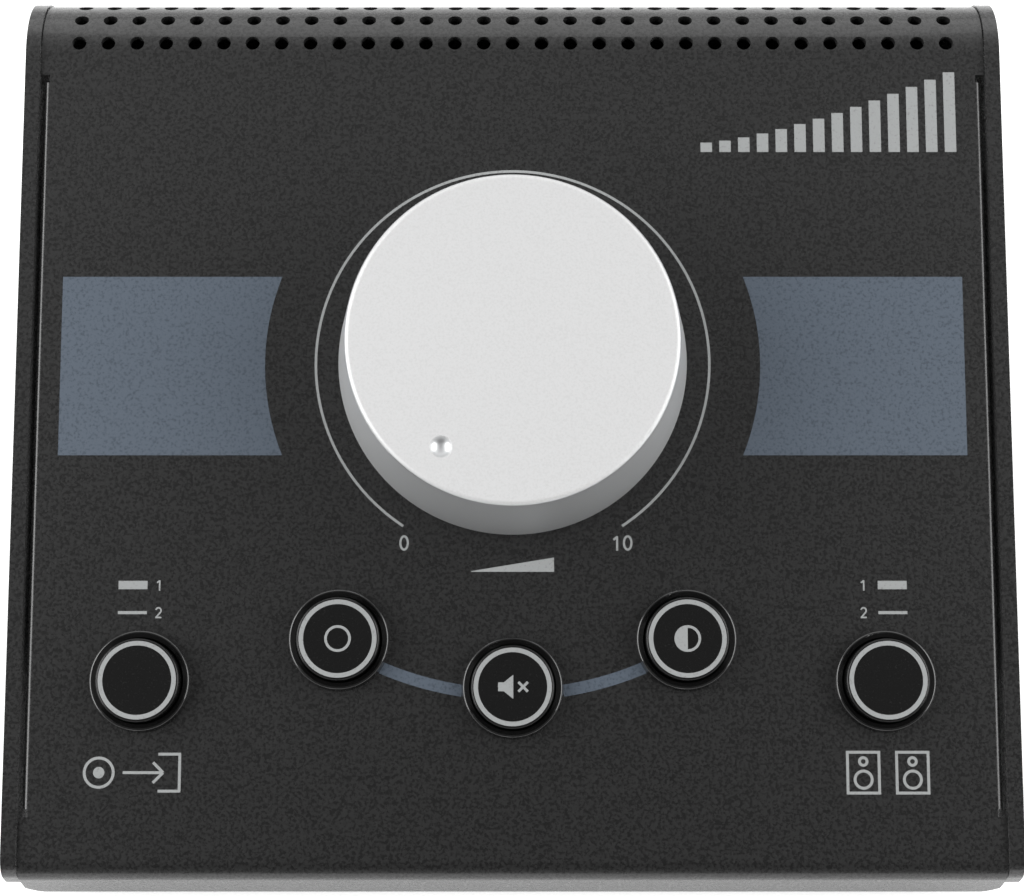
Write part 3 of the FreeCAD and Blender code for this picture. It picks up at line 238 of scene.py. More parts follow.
# %% [markdown]
# ## Studio lights
# The polished dimple on the knob works as a tiny mirror of the studio: the photograph
# shows two bright lobes in it, left and right, with a dark gap between. So two large
# softboxes stand on both sides of the camera. A third one behind the object gives the
# rear bend its bright line. All are wide and near, which keeps the shadows soft.
# %% Softboxes
SOFTBOXES = {
    "softbox_left": ((-0.75, -0.10, 0.55), (0.60, 0.9), 7.6),
    "softbox_right": ((0.75, -0.10, 0.55), (0.60, 0.9), 6.2),
    "softbox_rear": ((0.0, 0.75, 0.55), (1.2, 0.5), 1.1),
}


def softbox(name, spot, size, watts):
    """Area light at a place in the world, sized in metres, turned to the knob's foot."""
    data = bpy.data.lights.new(name, "AREA")
    data.shape = "RECTANGLE"
    data.size, data.size_y = size
    data.energy = watts
    lamp = bpy.data.objects.new(name, data)
    bpy.context.scene.collection.objects.link(lamp)
    back = np.asarray(spot, float) - knob_point
    back = back / np.linalg.norm(back)
    side = np.cross([0.0, 1.0, 0.0], back)
    side = side / np.linalg.norm(side)
    place = np.eye(4)
    place[:3, :3] = np.array([side, np.cross(back, side), back]).T
    place[:3, 3] = spot
    lamp.matrix_world = Matrix(place.tolist())


for name, (spot, size, watts) in SOFTBOXES.items():
    softbox(name, spot, size, watts)
print("Lights:", ", ".join(SOFTBOXES))

# %% [markdown]
# ## Effects that several finishes share
# Painted, blasted and moulded surfaces all have a fine grain, and every surface that is
# handled has faint broad clouds in its gloss. Both are built once as node groups and
# placed in each material with its own values. The groups read object coordinates, which
# are metres here, so their sizes are real sizes.
# %% Node group: fine grain
GRAIN_DETAIL = 2.0
GRAIN_DECAY = 0.6


def new_group(name, inputs, outputs):
    """Empty node group with named float inputs, as (name, default), and named outputs."""
    group = bpy.data.node_groups.new(name, "ShaderNodeTree")
    for label, default in inputs:
        socket = group.interface.new_socket(label, in_out="INPUT", socket_type="NodeSocketFloat")
        socket.default_value = default
    for label in outputs:
        group.interface.new_socket(label, in_out="OUTPUT", socket_type="NodeSocketFloat")
    return group, group.nodes.new("NodeGroupInput"), group.nodes.new("NodeGroupOutput")


fine_grain, entry, result = new_group(
    "fine_grain",
    [("Cells per metre", 2500.0), ("Pit level", 0.4), ("Pit slope", 0.15)],
    ["Height", "Pits"],
)
spot = put(fine_grain, "ShaderNodeTexCoord")
coarse = put(
    fine_grain,
    "ShaderNodeTexNoise",
    {
        "Vector": spot.outputs["Object"],
        "Scale": entry.outputs[0],
        "Detail": GRAIN_DETAIL,
        "Roughness": GRAIN_DECAY,
    },
)
pit_floor = put(
    fine_grain, "ShaderNodeMath", {0: entry.outputs[1], 1: entry.outputs[2]}, operation="SUBTRACT"
)
pits = put(
    fine_grain,
    "ShaderNodeMapRange",
    {"Value": coarse.outputs[0], "From Min": entry.outputs[1], "From Max": pit_floor.outputs[0]},
)
fine_grain.links.new(coarse.outputs[0], result.inputs["Height"])
fine_grain.links.new(pits.outputs[0], result.inputs["Pits"])
print("Group fine_grain: noise height and a mask of its deepest pits")

# %% Node group: handled clouds
CLOUD_DETAIL = 3.0

handled_clouds, entry, result = new_group(
    "handled_clouds", [("Clouds per metre", 40.0), ("Middle", 0.4), ("Spread", 0.1)], ["Value"]
)
spot = put(handled_clouds, "ShaderNodeTexCoord")
clouds = put(
    handled_clouds,
    "ShaderNodeTexNoise",
    {"Vector": spot.outputs["Object"], "Scale": entry.outputs[0], "Detail": CLOUD_DETAIL},
)
centred = put(
    handled_clouds, "ShaderNodeMath", {0: clouds.outputs[0], 1: 0.5}, operation="SUBTRACT"
)
scaled = put(
    handled_clouds,
    "ShaderNodeMath",
    {0: centred.outputs[0], 1: entry.outputs[2], 2: entry.outputs[1]},
    operation="MULTIPLY_ADD",
)
handled_clouds.links.new(scaled.outputs[0], result.inputs["Value"])
print("Group handled_clouds: a broad, slow variation round a middle value")

# %% [markdown]
# ## One recipe for a finish
# Nearly all finishes here are one Principled shader whose colour, roughness and bump
# vary by the two groups. The recipe takes the plain values that are the same all over
# the surface and sets them on the shader itself. Only what really varies is linked.
# %% Recipe for a grained finish
PIT_ROUGHNESS = 0.3


def use_group(tree, group, **values):
    """Places a node group and sets its inputs, keyed by name with _ for a space."""
    made = tree.nodes.new("ShaderNodeGroup")
    made.node_tree = group
    for name, value in values.items():
        made.inputs[name.replace("_", " ")].default_value = value
    return made


def new_finish(name):
    """Empty material and its node tree."""
    material = bpy.data.materials.new(name)
    material.use_nodes = True
    material.node_tree.nodes.clear()
    return material, material.node_tree


def grained_finish(
    name, color, pit_color, cells, pit_level, bump, clouds, pit_slope=0.15, **shader
):
    """Material of one colour with pits of another, a fine bump and clouded roughness.

    bump is the grain's height in millimetres, and clouds is (per metre, middle, spread)
    of the roughness, to which a pit adds PIT_ROUGHNESS. Shader names are Principled
    inputs with _ for a space.
    """
    material, tree = new_finish(name)
    grain = use_group(
        tree, fine_grain, Cells_per_metre=cells, Pit_level=pit_level, Pit_slope=pit_slope
    )
    tint = put(
        tree,
        "ShaderNodeMix",
        {"Factor": grain.outputs["Pits"], 6: color, 7: pit_color},
        data_type="RGBA",
    )
    relief = put(
        tree,
        "ShaderNodeBump",
        {"Height": grain.outputs["Height"], "Strength": 1.0, "Distance": bump * MM},
    )
    haze = use_group(
        tree, handled_clouds, Clouds_per_metre=clouds[0], Middle=clouds[1], Spread=clouds[2]
    )
    rough = put(
        tree,
        "ShaderNodeMath",
        {0: grain.outputs["Pits"], 1: PIT_ROUGHNESS, 2: haze.outputs["Value"]},
        operation="MULTIPLY_ADD",
    )
    inputs = {
        "Base Color": tint.outputs[2],
        "Roughness": rough.outputs[0],
        "Normal": relief.outputs["Normal"],
    }
    for key, value in shader.items():
        inputs[key.replace("_", " ")] = value
    body = put(tree, "ShaderNodeBsdfPrincipled", inputs)
    put(tree, "ShaderNodeOutputMaterial", {"Surface": body.outputs[0]})
    return material


finishes = {}

# %% [markdown]
# ## Powder coat
# The case is steel with a charcoal powder coat: dry paint powder is baked until it just
# flows together, which leaves a fine, slightly pitted skin. The photograph shows pits of
# about 0.4 mm, darker than the rest, and a satin gloss that only wakes up at low angles.
# The pits are colour and relief from one noise, so that they stay in step. The gloss is a
# thin, smooth coat over them, which mirrors little from above and much at a low angle.
# %% Powder coat on the case
finishes["powder_coat"] = grained_finish(
    "powder_coat",
    color=grey(0.0185),
    pit_color=grey(0.002),
    cells=1900.0,
    pit_level=0.60,
    pit_slope=0.22,
    bump=0.14,
    clouds=(30.0, 0.42, 0.05),
    Specular_IOR_Level=0.14,
    Sheen_Weight=0.15,
    Sheen_Roughness=0.35,
    Coat_Weight=1.0,
    Coat_Roughness=0.2,
    Coat_IOR=1.6,
)
print("Powder coat made")

# %% [markdown]
# ## Knob aluminium
# The knob is turned from aluminium bar. Its face is blasted with fine beads and clear
# anodised, so it scatters light almost like paper. The cone keeps the faint rings of the
# turning tool and stays closer to a mirror: it shows the dark panel round its foot. The
# rim and the pointer's dimple are cut last with a polished tool. One material does all
# three, because they are one piece of metal: it measures how far a point lies out of the
# panel, along the knob's own axis, and blends the finishes by that height.
# %% Three finishes on one knob
KNOB_CONE_TOP = 20.35
KNOB_RIM_BOTTOM = 20.50
KNOB_RIM_TOP = 20.75
KNOB_FACE = 21.14
CONE_ROUGHNESS = 0.48
RIM_ROUGHNESS = 0.42
FACE_ROUGHNESS = 0.60
CONE_METAL = 0.80
FACE_METAL = 0.60
CONE_COLOR = grey(0.68, (0.985, 1.0, 1.01))
FACE_COLOR = grey(0.725, (1.0, 1.0, 1.003))
FACE_PITS = grey(0.68)
FACE_CELLS = 2600.0
FACE_PIT_LEVEL = 0.56
FACE_PIT_SLOPE = 0.25
KNOB_CLOUDS = 25.0
KNOB_CLOUD_SPREAD = 0.05
RINGS_PER_METRE = 5000.0
RING_RELIEF = 0.004
FACE_RELIEF = 0.010


def step_between(tree, value, low, high):
    """0 below the low height, 1 above the high one, both in millimetres out of the panel."""
    foot = float(knob_point @ outward)
    made = put(
        tree,
        "ShaderNodeMapRange",
        {"Value": value, "From Min": foot + low * MM, "From Max": foot + high * MM},
        interpolation_type="SMOOTHSTEP",
    )
    return made.outputs["Result"]


def blend_values(tree, mask, low, high):
    """low where the mask is 0 and high where it is 1; low may be another node's output."""
    made = put(tree, "ShaderNodeMix", {"Factor": mask, 2: low, 3: high}, data_type="FLOAT")
    return made.outputs[0]


knob_metal, tree = new_finish("knob_aluminium")
place = put(tree, "ShaderNodeTexCoord")
along_axis = put(
    tree,
    "ShaderNodeVectorMath",
    {0: place.outputs["Object"], 1: outward.tolist()},
    operation="DOT_PRODUCT",
)
height = along_axis.outputs["Value"]
above_cone = step_between(tree, height, KNOB_CONE_TOP, KNOB_RIM_BOTTOM)
on_face = step_between(tree, height, KNOB_RIM_TOP, KNOB_FACE)
grain = use_group(
    tree,
    fine_grain,
    Cells_per_metre=FACE_CELLS,
    Pit_level=FACE_PIT_LEVEL,
    Pit_slope=FACE_PIT_SLOPE,
)
face_tint = put(
    tree,
    "ShaderNodeMix",
    {"Factor": grain.outputs["Pits"], 6: FACE_COLOR, 7: FACE_PITS},
    data_type="RGBA",
)
tint = put(
    tree,
    "ShaderNodeMix",
    {"Factor": on_face, 6: CONE_COLOR, 7: face_tint.outputs[2]},
    data_type="RGBA",
)
ring_place = put(tree, "ShaderNodeCombineXYZ", {0: height})
rings = put(
    tree,
    "ShaderNodeTexNoise",
    {"Vector": ring_place.outputs[0], "Scale": RINGS_PER_METRE, "Detail": 1.0},
)
ring_relief = put(
    tree,
    "ShaderNodeBump",
    {"Height": rings.outputs[0], "Strength": 1.0, "Distance": RING_RELIEF * MM},
)
face_height = put(
    tree, "ShaderNodeMath", {0: grain.outputs["Height"], 1: on_face}, operation="MULTIPLY"
)
relief = put(
    tree,
    "ShaderNodeBump",
    {
        "Height": face_height.outputs[0],
        "Normal": ring_relief.outputs["Normal"],
        "Strength": 1.0,
        "Distance": FACE_RELIEF * MM,
    },
)
haze = use_group(
    tree,
    handled_clouds,
    Clouds_per_metre=KNOB_CLOUDS,
    Middle=CONE_ROUGHNESS,
    Spread=KNOB_CLOUD_SPREAD,
)
rim_rough = blend_values(tree, above_cone, haze.outputs["Value"], RIM_ROUGHNESS)
rim_metal = blend_values(tree, above_cone, CONE_METAL, 1.0)
body = put(
    tree,
    "ShaderNodeBsdfPrincipled",
    {
        "Base Color": tint.outputs[2],
        "Roughness": blend_values(tree, on_face, rim_rough, FACE_ROUGHNESS),
        "Metallic": blend_values(tree, on_face, rim_metal, FACE_METAL),
        "Normal": relief.outputs["Normal"],
    },
)
put(tree, "ShaderNodeOutputMaterial", {"Surface": body.outputs[0]})
finishes["knob_aluminium"] = knob_metal
print("Knob metal: cone, rim and face blend between", KNOB_CONE_TOP, "and", KNOB_FACE, "mm")

# %% [markdown]
# ## Black plastics and rubber
# The bezels are polished black plastic, the caps have a satin face, and the sockets,
# switches and the knob's insert are plain moulded plastic. The feet are rubber. They
# differ in gloss and in how strong the moulded grain is, so one table holds them all:
# brightness, grain cells per metre, grain height in millimetres, clouds in the gloss.
# %% Plastics and rubber
PLAIN_PIT_LEVEL = 0.40
PLASTIC_PITS = 0.6
PLASTICS = {
    "gloss_black": (0.006, 900.0, 0.004, (60.0, 0.10, 0.04)),
    "cap_black": (0.007, 3000.0, 0.003, (60.0, 0.22, 0.04)),
    "inner_plastic": (0.030, 1800.0, 0.02, (40.0, 0.50, 0.08)),
    "switch_plastic": (0.045, 1800.0, 0.02, (40.0, 0.45, 0.08)),
    "jack_plastic": (0.012, 2200.0, 0.02, (40.0, 0.42, 0.08)),
    "resistor": (0.020, 2500.0, 0.01, (40.0, 0.40, 0.08)),
    "track": (0.030, 2500.0, 0.01, (40.0, 0.55, 0.08)),
    "rubber": (0.022, 1500.0, 0.05, (40.0, 0.80, 0.08)),
}
POLISH = {
    "gloss_black": {"Coat_Weight": 1.0, "Coat_Roughness": 0.03},
    "cap_black": {"Specular_IOR_Level": 0.36},
}


def plain_finish(name, color, pit_share, cells, bump, clouds, **shader):
    """A grained finish with few pits, whose colour is a share of the finish's own."""
    pit_color = tuple(pit_share * part for part in color[:3]) + (1.0,)
    return grained_finish(
        name, color, pit_color, cells, PLAIN_PIT_LEVEL, bump, clouds, **shader
    )


for name, (level, *grain_and_clouds) in PLASTICS.items():
    finishes[name] = plain_finish(
        name, grey(level), PLASTIC_PITS, *grain_and_clouds, **POLISH.get(name, {})
    )
print("Plastics made:", ", ".join(PLASTICS))

# %% [markdown]
# ## Threads on the socket noses
# Each socket's nose comes through the back wall and carries a fine thread for its nut. A
# true helix on nine noses would take many thousands of faces for something so small, so
# the thread is a relief: a triangle wave along the nose, only behind the wall's face. The
# wall's place is read from the model, as the furthest back that the tray reaches.
# %% Thread relief
THREAD_PITCH = 0.75
THREAD_DEPTH = 0.22

wall_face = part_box("base_tray")[1][1]
tree = finishes["jack_plastic"].node_tree
shell = next(made for made in tree.nodes if made.type == "BSDF_PRINCIPLED")
moulded = next(made for made in tree.nodes if made.type == "BUMP")
place = put(tree, "ShaderNodeTexCoord")
parts = put(tree, "ShaderNodeSeparateXYZ", {0: place.outputs["Object"]})
turns = put(
    tree,
    "ShaderNodeMath",
    {0: parts.outputs["Y"], 1: THREAD_PITCH * MM / 2},
    operation="PINGPONG",
)
behind = put(
    tree, "ShaderNodeMath", {0: parts.outputs["Y"], 1: wall_face}, operation="GREATER_THAN"
)
wave = put(
    tree, "ShaderNodeMath", {0: turns.outputs[0], 1: behind.outputs[0]}, operation="MULTIPLY"
)
thread = put(
    tree,
    "ShaderNodeBump",
    {
        "Height": wave.outputs[0],
        "Normal": moulded.outputs["Normal"],
        "Strength": 1.0,
        "Distance": 2 * THREAD_DEPTH / THREAD_PITCH,
    },
)
tree.links.new(thread.outputs["Normal"], shell.inputs["Normal"])
print("Threads", THREAD_PITCH, "mm apart behind y =", round(wall_face, 4))

# %% [markdown]
# ## Coloured inner pieces
# Inside are the fibre boards with their green mask, the brown laminate of the gangs,
# cream switch stems, the grey ribbon and three red leads.
# %% Coloured inner finishes
COLOURED_PITS = 0.7
COLOURED = {
    "circuit_board": ((0.020, 0.115, 0.050, 1), 1200.0, 0.02, (40.0, 0.32, 0.06)),
    "phenolic": ((0.20, 0.085, 0.035, 1), 1600.0, 0.02, (40.0, 0.50, 0.08)),
    "cream_plastic": ((0.62, 0.60, 0.52, 1), 1800.0, 0.01, (40.0, 0.42, 0.06)),
    "ribbon_grey": ((0.30, 0.30, 0.32, 1), 900.0, 0.02, (40.0, 0.50, 0.06)),
    "lead_red": ((0.35, 0.015, 0.012, 1), 2500.0, 0.01, (40.0, 0.40, 0.06)),
}
for name, (color, *grain_and_clouds) in COLOURED.items():
    finishes[name] = plain_finish(name, color, COLOURED_PITS, *grain_and_clouds)
print("Coloured finishes made:", ", ".join(COLOURED))

# %% [markdown]
# ## Plated and plain metals
# Screws, nuts, pins, springs and shafts are steel or brass with thin platings. They are
# pure metal with different tints and gloss, and fine marks from handling in bulk.
# %% Small metal parts
METAL_PITS = 0.8
METALS = {
    "black_screw": (grey(0.030), 2200.0, 0.01, (120.0, 0.36, 0.10)),
    "plain_screw": (grey(0.56, (1.0, 1.0, 1.02)), 1800.0, 0.006, (150.0, 0.30, 0.12)),
    "steel": (grey(0.56), 1500.0, 0.006, (150.0, 0.32, 0.12)),
    "nickel": (grey(0.66, (1.0, 0.97, 0.92)), 1500.0, 0.004, (150.0, 0.20, 0.10)),
    "pin_metal": (grey(0.62, (1.0, 0.93, 0.78)), 2500.0, 0.004, (150.0, 0.28, 0.10)),
    "spring_steel": (grey(0.50), 2500.0, 0.004, (150.0, 0.28, 0.10)),
}
for name, (color, *grain_and_clouds) in METALS.items():
    finishes[name] = plain_finish(name, color, METAL_PITS, *grain_and_clouds, Metallic=1.0)
print("Metals made:", ", ".join(METALS))

# %% [markdown]
# ## Dress the construction model
# Each node of the construction model comes with one material slot, named after a finish
# in the model's record. Putting the new finish into that slot dresses the node.
# %% Give every node its finish
for node in frame["nodes"].values():
    for holder in node.material_slots:
        holder.material = finishes[holder.material.name]
print("Dressed", len(frame["nodes"]), "nodes with", len(finishes), "finishes")

# %% [markdown]
# ## Printed films
# The dial's line, the grey-blue blocks, the band between the mode buttons and the small
# marks are screen printed: ink pressed through a mesh onto the paint. They could be masks
# in the paint's material, but then each mark needs its own maths in every material. A thin
# film of ink is closer to the real thing, and its edges stay crisp at any distance.
# Every mark here is one or more ribbons: two edge lines that run side by side on a plane,
# with a film between them. A ribbon is a small box-shaped section carried along a path.
# %% Ribbons carried along a path
PRINT_HEIGHT = 0.03
PRINT_SINK = 0.01
PRINT_STEP = 0.002


def tube_faces(stations, points, closed):
    """Faces between sections: corner j and j+1 of section i and i+1, plus two end caps.

    Vertex number is section times points per section plus corner, and a section has an
    even number of corners. A cap is a strip of four-sided faces between the corners that
    count up from the first and those that count down from the last. A closed tube joins
    its last section to its first and has no caps.
    """
    i, j = np.meshgrid(
        np.arange(stations if closed else stations - 1), np.arange(points), indexing="ij"
    )
    next_i = (i + 1) % stations
    next_j = (j + 1) % points
    here, there = i * points, next_i * points
    sides = np.stack([here + j, there + j, there + next_j, here + next_j], axis=-1).reshape(-1, 4)
    if closed:
        return sides
    up = np.arange(points // 2 - 1)
    cap = np.stack([up, up + 1, points - 2 - up, points - 1 - up], axis=-1)
    return np.vstack([sides, cap, (stations - 1) * points + cap[:, ::-1]])


def faced_outward(vertices, faces):
    """Faces turned so that the volume they enclose, a sum of corner products, is positive."""
    a, b, c, d = (vertices[faces[:, k]] for k in range(4))
    volume = np.einsum("ij,ij->", a, np.cross(b, c)) + np.einsum("ij,ij->", a, np.cross(c, d))
    return faces if volume > 0 else faces[:, ::-1]


def film_solid(left, right, height):
    """Vertices and faces of one ribbon: a low and a high corner at each edge of each station."""
    closed = np.allclose(left[0], left[-1]) and np.allclose(right[0], right[-1])
    if closed:
        left, right = left[:-1], right[:-1]
    low = np.full((len(left), 1), -PRINT_SINK)
    high = np.full((len(left), 1), height)
    corners = [(left, low), (right, low), (right, high), (left, high)]
    sections = np.stack([np.hstack(corner) for corner in corners], axis=1)
    faces = tube_faces(len(left), len(corners), closed)
    vertices = sections.reshape(-1, 3)
    return vertices, faced_outward(vertices, faces)


def new_piece(name, vertices, faces, material, body):
    """Mesh object at the origin from world vertices, with one material, riding on a body."""
    mesh = bpy.data.meshes.new(name)
    mesh.from_pydata(vertices.tolist(), [], faces.tolist())
    mesh.materials.append(material)
    piece = bpy.data.objects.new(name, mesh)
    bpy.context.scene.collection.objects.link(piece)
    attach(piece, body)
    return piece


def printed(name, plane, ribbons, material, body):
    """One printed piece of several ribbons, each a hair higher than the one before it."""
    vertices, faces, count = [], [], 0
    for order, (left, right) in enumerate(ribbons):
        solid, sides = film_solid(left, right, PRINT_HEIGHT + order * PRINT_STEP)
        vertices.append(solid)
        faces.append(sides + count)
        count += len(solid)
    points = to_world(plane, np.vstack(vertices))
    print("Printed", name, "with", len(ribbons), "ribbons")
    return new_piece(name, points, np.vstack(faces), material, body)


# %% [markdown]
# ## A pen for marks
# Marks are drawn as a draughtsman would: a pen of a set width follows lines and arcs. The
# pen's two edges are the path moved sideways by half its width, along the path's own
# normal. A bar, a block and a half disc have edges of their own instead.
# %% Lines, arcs and bars
def arc(center, radius, start, end, steps=48):
    """Points at a radius, or two radii, round a centre from one angle to another in degrees."""
    angles = np.radians(np.linspace(start, end, steps))
    return np.asarray(center) + np.stack([np.cos(angles), np.sin(angles)], axis=1) * radius


def pen(path, width):
    """Edges of a line of one width: each point moved by half the width along its normal."""
    path = np.asarray(path, float)
    along = np.gradient(path, axis=0)
    if np.allclose(path[0], path[-1]):
        along[[0, -1]] = path[1] - path[-2]
    along = along / np.linalg.norm(along, axis=1, keepdims=True)
    side = np.stack([-along[:, 1], along[:, 0]], axis=1) * width / 2
    return path + side, path - side


def bar(left, bottom, right, top):
    """Edges of an upright rectangle."""
    return (
        np.array([[left, bottom], [left, top]], float),
        np.array([[right, bottom], [right, top]], float),
    )


def ring(center, radius, width, steps=64):
    """Edges of a full circle drawn with the pen."""
    return pen(arc(center, radius, 0, 360, steps), width)


DIGIT_STROKE = 0.14
DIGIT_PITCH = 0.74
DIGITS = {
    "0": [arc((0.30, 0.50), (0.24, 0.43), 0, 360, 40)],
    "1": [np.array([[0.36, 0.0], [0.36, 0.93]]), np.array([[0.12, 0.70], [0.38, 0.90]])],
    "2": [
        np.vstack([arc((0.30, 0.68), (0.23, 0.25), 165, -35, 24), [[0.08, 0.07]]]),
        np.array([[0.03, 0.07], [0.57, 0.07]]),
    ],
}


def numerals(text, left, bottom, height):
    """Ribbons of a row of digits, each drawn in a cell of height 1 and then scaled."""
    ribbons = []
    for place, digit in enumerate(text):
        corner = np.array([left + place * DIGIT_PITCH * height, bottom])
        for stroke in DIGITS[digit]:
            ribbons.append(pen(corner + stroke * height, DIGIT_STROKE * height))
    return ribbons


print("Digits ready:", " ".join(DIGITS))

# %% [markdown]
# ## Inks
# Two inks are on the panel, a pale grey for lines and marks and a grey-blue for the large
# areas. Ink lies thinly over the pitted paint, so the pits still show through it as fine
# darker specks. The same recipe as the paint's does that, with the ink's own colours.
# %% Two inks
pale_ink = grained_finish(
    "pale_ink",
    color=grey(0.32, (0.97, 1.0, 1.0)),
    pit_color=grey(0.22),
    cells=2300.0,
    pit_level=0.42,
    bump=0.03,
    clouds=(30.0, 0.50, 0.06),
)
blue_ink = grained_finish(
    "blue_ink",
    color=(0.083, 0.105, 0.136, 1.0),
    pit_color=(0.050, 0.066, 0.088, 1.0),
    cells=2100.0,
    pit_level=0.50,
    bump=0.04,
    clouds=(30.0, 0.46, 0.06),
)
print("Inks made")

# %% [markdown]
# ## The dial's line and the blocks
# A fine line circles the knob and stops below it, where the scale begins and ends. On both
# sides a block is bounded by straight edges and, towards the knob, by an arc about the
# knob's axis. The band that joins the three mode buttons follows a larger arc in two
# stretches, whose ends hide under the bezels.
# %% Dial line, blocks and band
DIAL_RADIUS = 32.0
DIAL_WIDTH = 0.42
DIAL_GAP_HALF_ANGLE = 33.4
BLOCK_OUTER = 73.54
BLOCK_TOP = 14.27
BLOCK_BOTTOM = -15.21
BLOCK_INNER_RADIUS = 40.27
BAND_RADIUS = 53.7
BAND_WIDTH = 1.9
BEZEL_COVER = 8.1

printed(
    "dial_line",
    panel,
    [
        pen(
            arc((0, 0), DIAL_RADIUS, -90 + DIAL_GAP_HALF_ANGLE, 270 - DIAL_GAP_HALF_ANGLE, 240),
            DIAL_WIDTH,
        )
    ],
    pale_ink,
    "case",
)
heights = np.linspace(BLOCK_BOTTOM, BLOCK_TOP, 60)
inner_edge = np.stack([np.sqrt(BLOCK_INNER_RADIUS ** 2 - heights ** 2), heights], axis=1)
outer_edge = np.stack([np.full_like(heights, BLOCK_OUTER), heights], axis=1)
mirror = np.array([-1.0, 1.0])
for side, flip in (("left", mirror), ("right", np.ones(2))):
    printed(side + "_block", panel, [(inner_edge * flip, outer_edge * flip)], blue_ink, "case")


def mesh_in_drawing(name):
    """All corners of a node's mesh, in the drawing's millimetres."""
    mesh = frame["nodes"][name].data
    points = np.empty(len(mesh.vertices) * 3)
    mesh.vertices.foreach_get("co", points)
    return to_drawing(panel, points.reshape(-1, 3))


def button_middle(name):
    """Drawing place of a button: the middle of its cap, and the height of the cap's face."""
    points = mesh_in_drawing(name + "_button")
    middle = (points.min(axis=0) + points.max(axis=0)) / 2
    return np.array([middle[0], middle[1], points[:, 2].max()])


middles = {name: button_middle(name) for name in ("source", "mono", "mute", "dim", "monitor")}


def band_angle(name, side):
    """Angle on the band's arc where it slips under a bezel, side 1 or -1 from its middle."""
    middle = math.degrees(math.atan2(middles[name][1], middles[name][0]))
    return middle + side * math.degrees(BEZEL_COVER / BAND_RADIUS)


printed(
    "mode_band",
    panel,
    [
        pen(arc((0, 0), BAND_RADIUS, band_angle("mono", 1), band_angle("mute", -1)), BAND_WIDTH),
        pen(arc((0, 0), BAND_RADIUS, band_angle("mute", 1), band_angle("dim", -1)), BAND_WIDTH),
    ],
    blue_ink,
    "case",
)
for name, middle in middles.items():
    print("Button", name, "at", middle.round(2), "radius", round(math.hypot(*middle[:2]), 2))

# %% [markdown]
# ## Marks beside the dial and the selectors
# The dial's ends are numbered 0 and 10, with a rising wedge between them for louder. Each
# selector has a thick and a thin bar, one for each of its two positions, numbered 1 and 2.
# Below the selectors are two small drawings: a signal that goes into the box, and a pair of
# loudspeakers. The field at the upper right holds a row of rising level bars.
# %% Numbers, bars and the wedge
LABEL_HEIGHT = 2.5
LABEL_BOTTOM = -30.7
ZERO_LEFT = -18.2
TEN_LEFT = 15.9
SMALL_HEIGHT = 1.8
WEDGE_HALF = 6.65
WEDGE_BOTTOM = -34.1
WEDGE_TOP = -31.8
WEDGE_TIP = 0.12
BAR_INNER = 58.55
BAR_OUTER = 63.2
THICK_BAR = (-36.9, -35.55)
THIN_BAR = (-40.9, -40.4)
DIGIT_LEFT = {"source": 1.3 - BAR_INNER, "monitor": BAR_INNER - 2.9}

for name, digits, left in (("zero_mark", "0", ZERO_LEFT), ("ten_mark", "10", TEN_LEFT)):
    marks = numerals(digits, left, LABEL_BOTTOM, LABEL_HEIGHT)
    printed(name, panel, marks, pale_ink, "case")
rise = np.linspace(0.0, 1.0, 12)
foot = np.stack([WEDGE_HALF * (2 * rise - 1), np.full_like(rise, WEDGE_BOTTOM)], axis=1)
thickness = WEDGE_TIP + rise * (WEDGE_TOP - WEDGE_BOTTOM - WEDGE_TIP)
slant = foot + np.stack([0 * rise, thickness], axis=1)
printed("louder_wedge", panel, [(slant, foot)], pale_ink, "case")

for side, flip in (("source", -1), ("monitor", 1)):
    low, high = sorted([flip * BAR_INNER, flip * BAR_OUTER])
    marks = [bar(low, THICK_BAR[0], high, THICK_BAR[1]), bar(low, THIN_BAR[0], high, THIN_BAR[1])]
    for digit, (bottom, top) in (("1", THICK_BAR), ("2", THIN_BAR)):
        middle = (bottom + top) / 2
        marks += numerals(digit, DIGIT_LEFT[side], middle - SMALL_HEIGHT / 2, SMALL_HEIGHT)
    printed(side + "_marks", panel, marks, pale_ink, "case")

# %% Drawings below the selectors
ICON_PEN = 0.45
ICON_MIDDLE = -66.0
PLUG_MIDDLE = (-65.6, ICON_MIDDLE)
PLUG_RADIUS = 2.3
PIN_RADIUS = 0.45
ARROW_TAIL = (-61.8, ICON_MIDDLE)
ARROW_TIP = (-55.4, ICON_MIDDLE)
ARROW_HEAD = 1.6
ARROW_TIP_GAP = 0.2
BOX_LEFT = -56.2
BOX_RIGHT = -52.8
BOX_CORNER = -52.6
BOX_BOTTOM = ICON_MIDDLE - 2.9
BOX_TOP = ICON_MIDDLE + 2.9


def arrow(tail, tip, head):
    """Ribbons of an arrow to the right: a shaft and two strokes that meet at its tip."""
    (x0, y), (x1, _) = tail, tip
    return [
        pen([[x0, y], [x1 - ARROW_TIP_GAP, y]], ICON_PEN),
        pen([[x1 - head, y + head], [x1, y]], ICON_PEN),
        pen([[x1 - head, y - head], [x1, y]], ICON_PEN),
    ]


signal_in = [
    ring(PLUG_MIDDLE, PLUG_RADIUS, ICON_PEN),
    ring(PLUG_MIDDLE, PIN_RADIUS, 2 * PIN_RADIUS),
    *arrow(ARROW_TAIL, ARROW_TIP, ARROW_HEAD),
    pen([[BOX_LEFT, BOX_TOP], [BOX_CORNER, BOX_TOP]], ICON_PEN),
    pen([[BOX_RIGHT, BOX_TOP], [BOX_RIGHT, BOX_BOTTOM]], ICON_PEN),
    pen([[BOX_LEFT, BOX_BOTTOM], [BOX_CORNER, BOX_BOTTOM]], ICON_PEN),
]
printed("signal_in_drawing", panel, signal_in, pale_ink, "case")

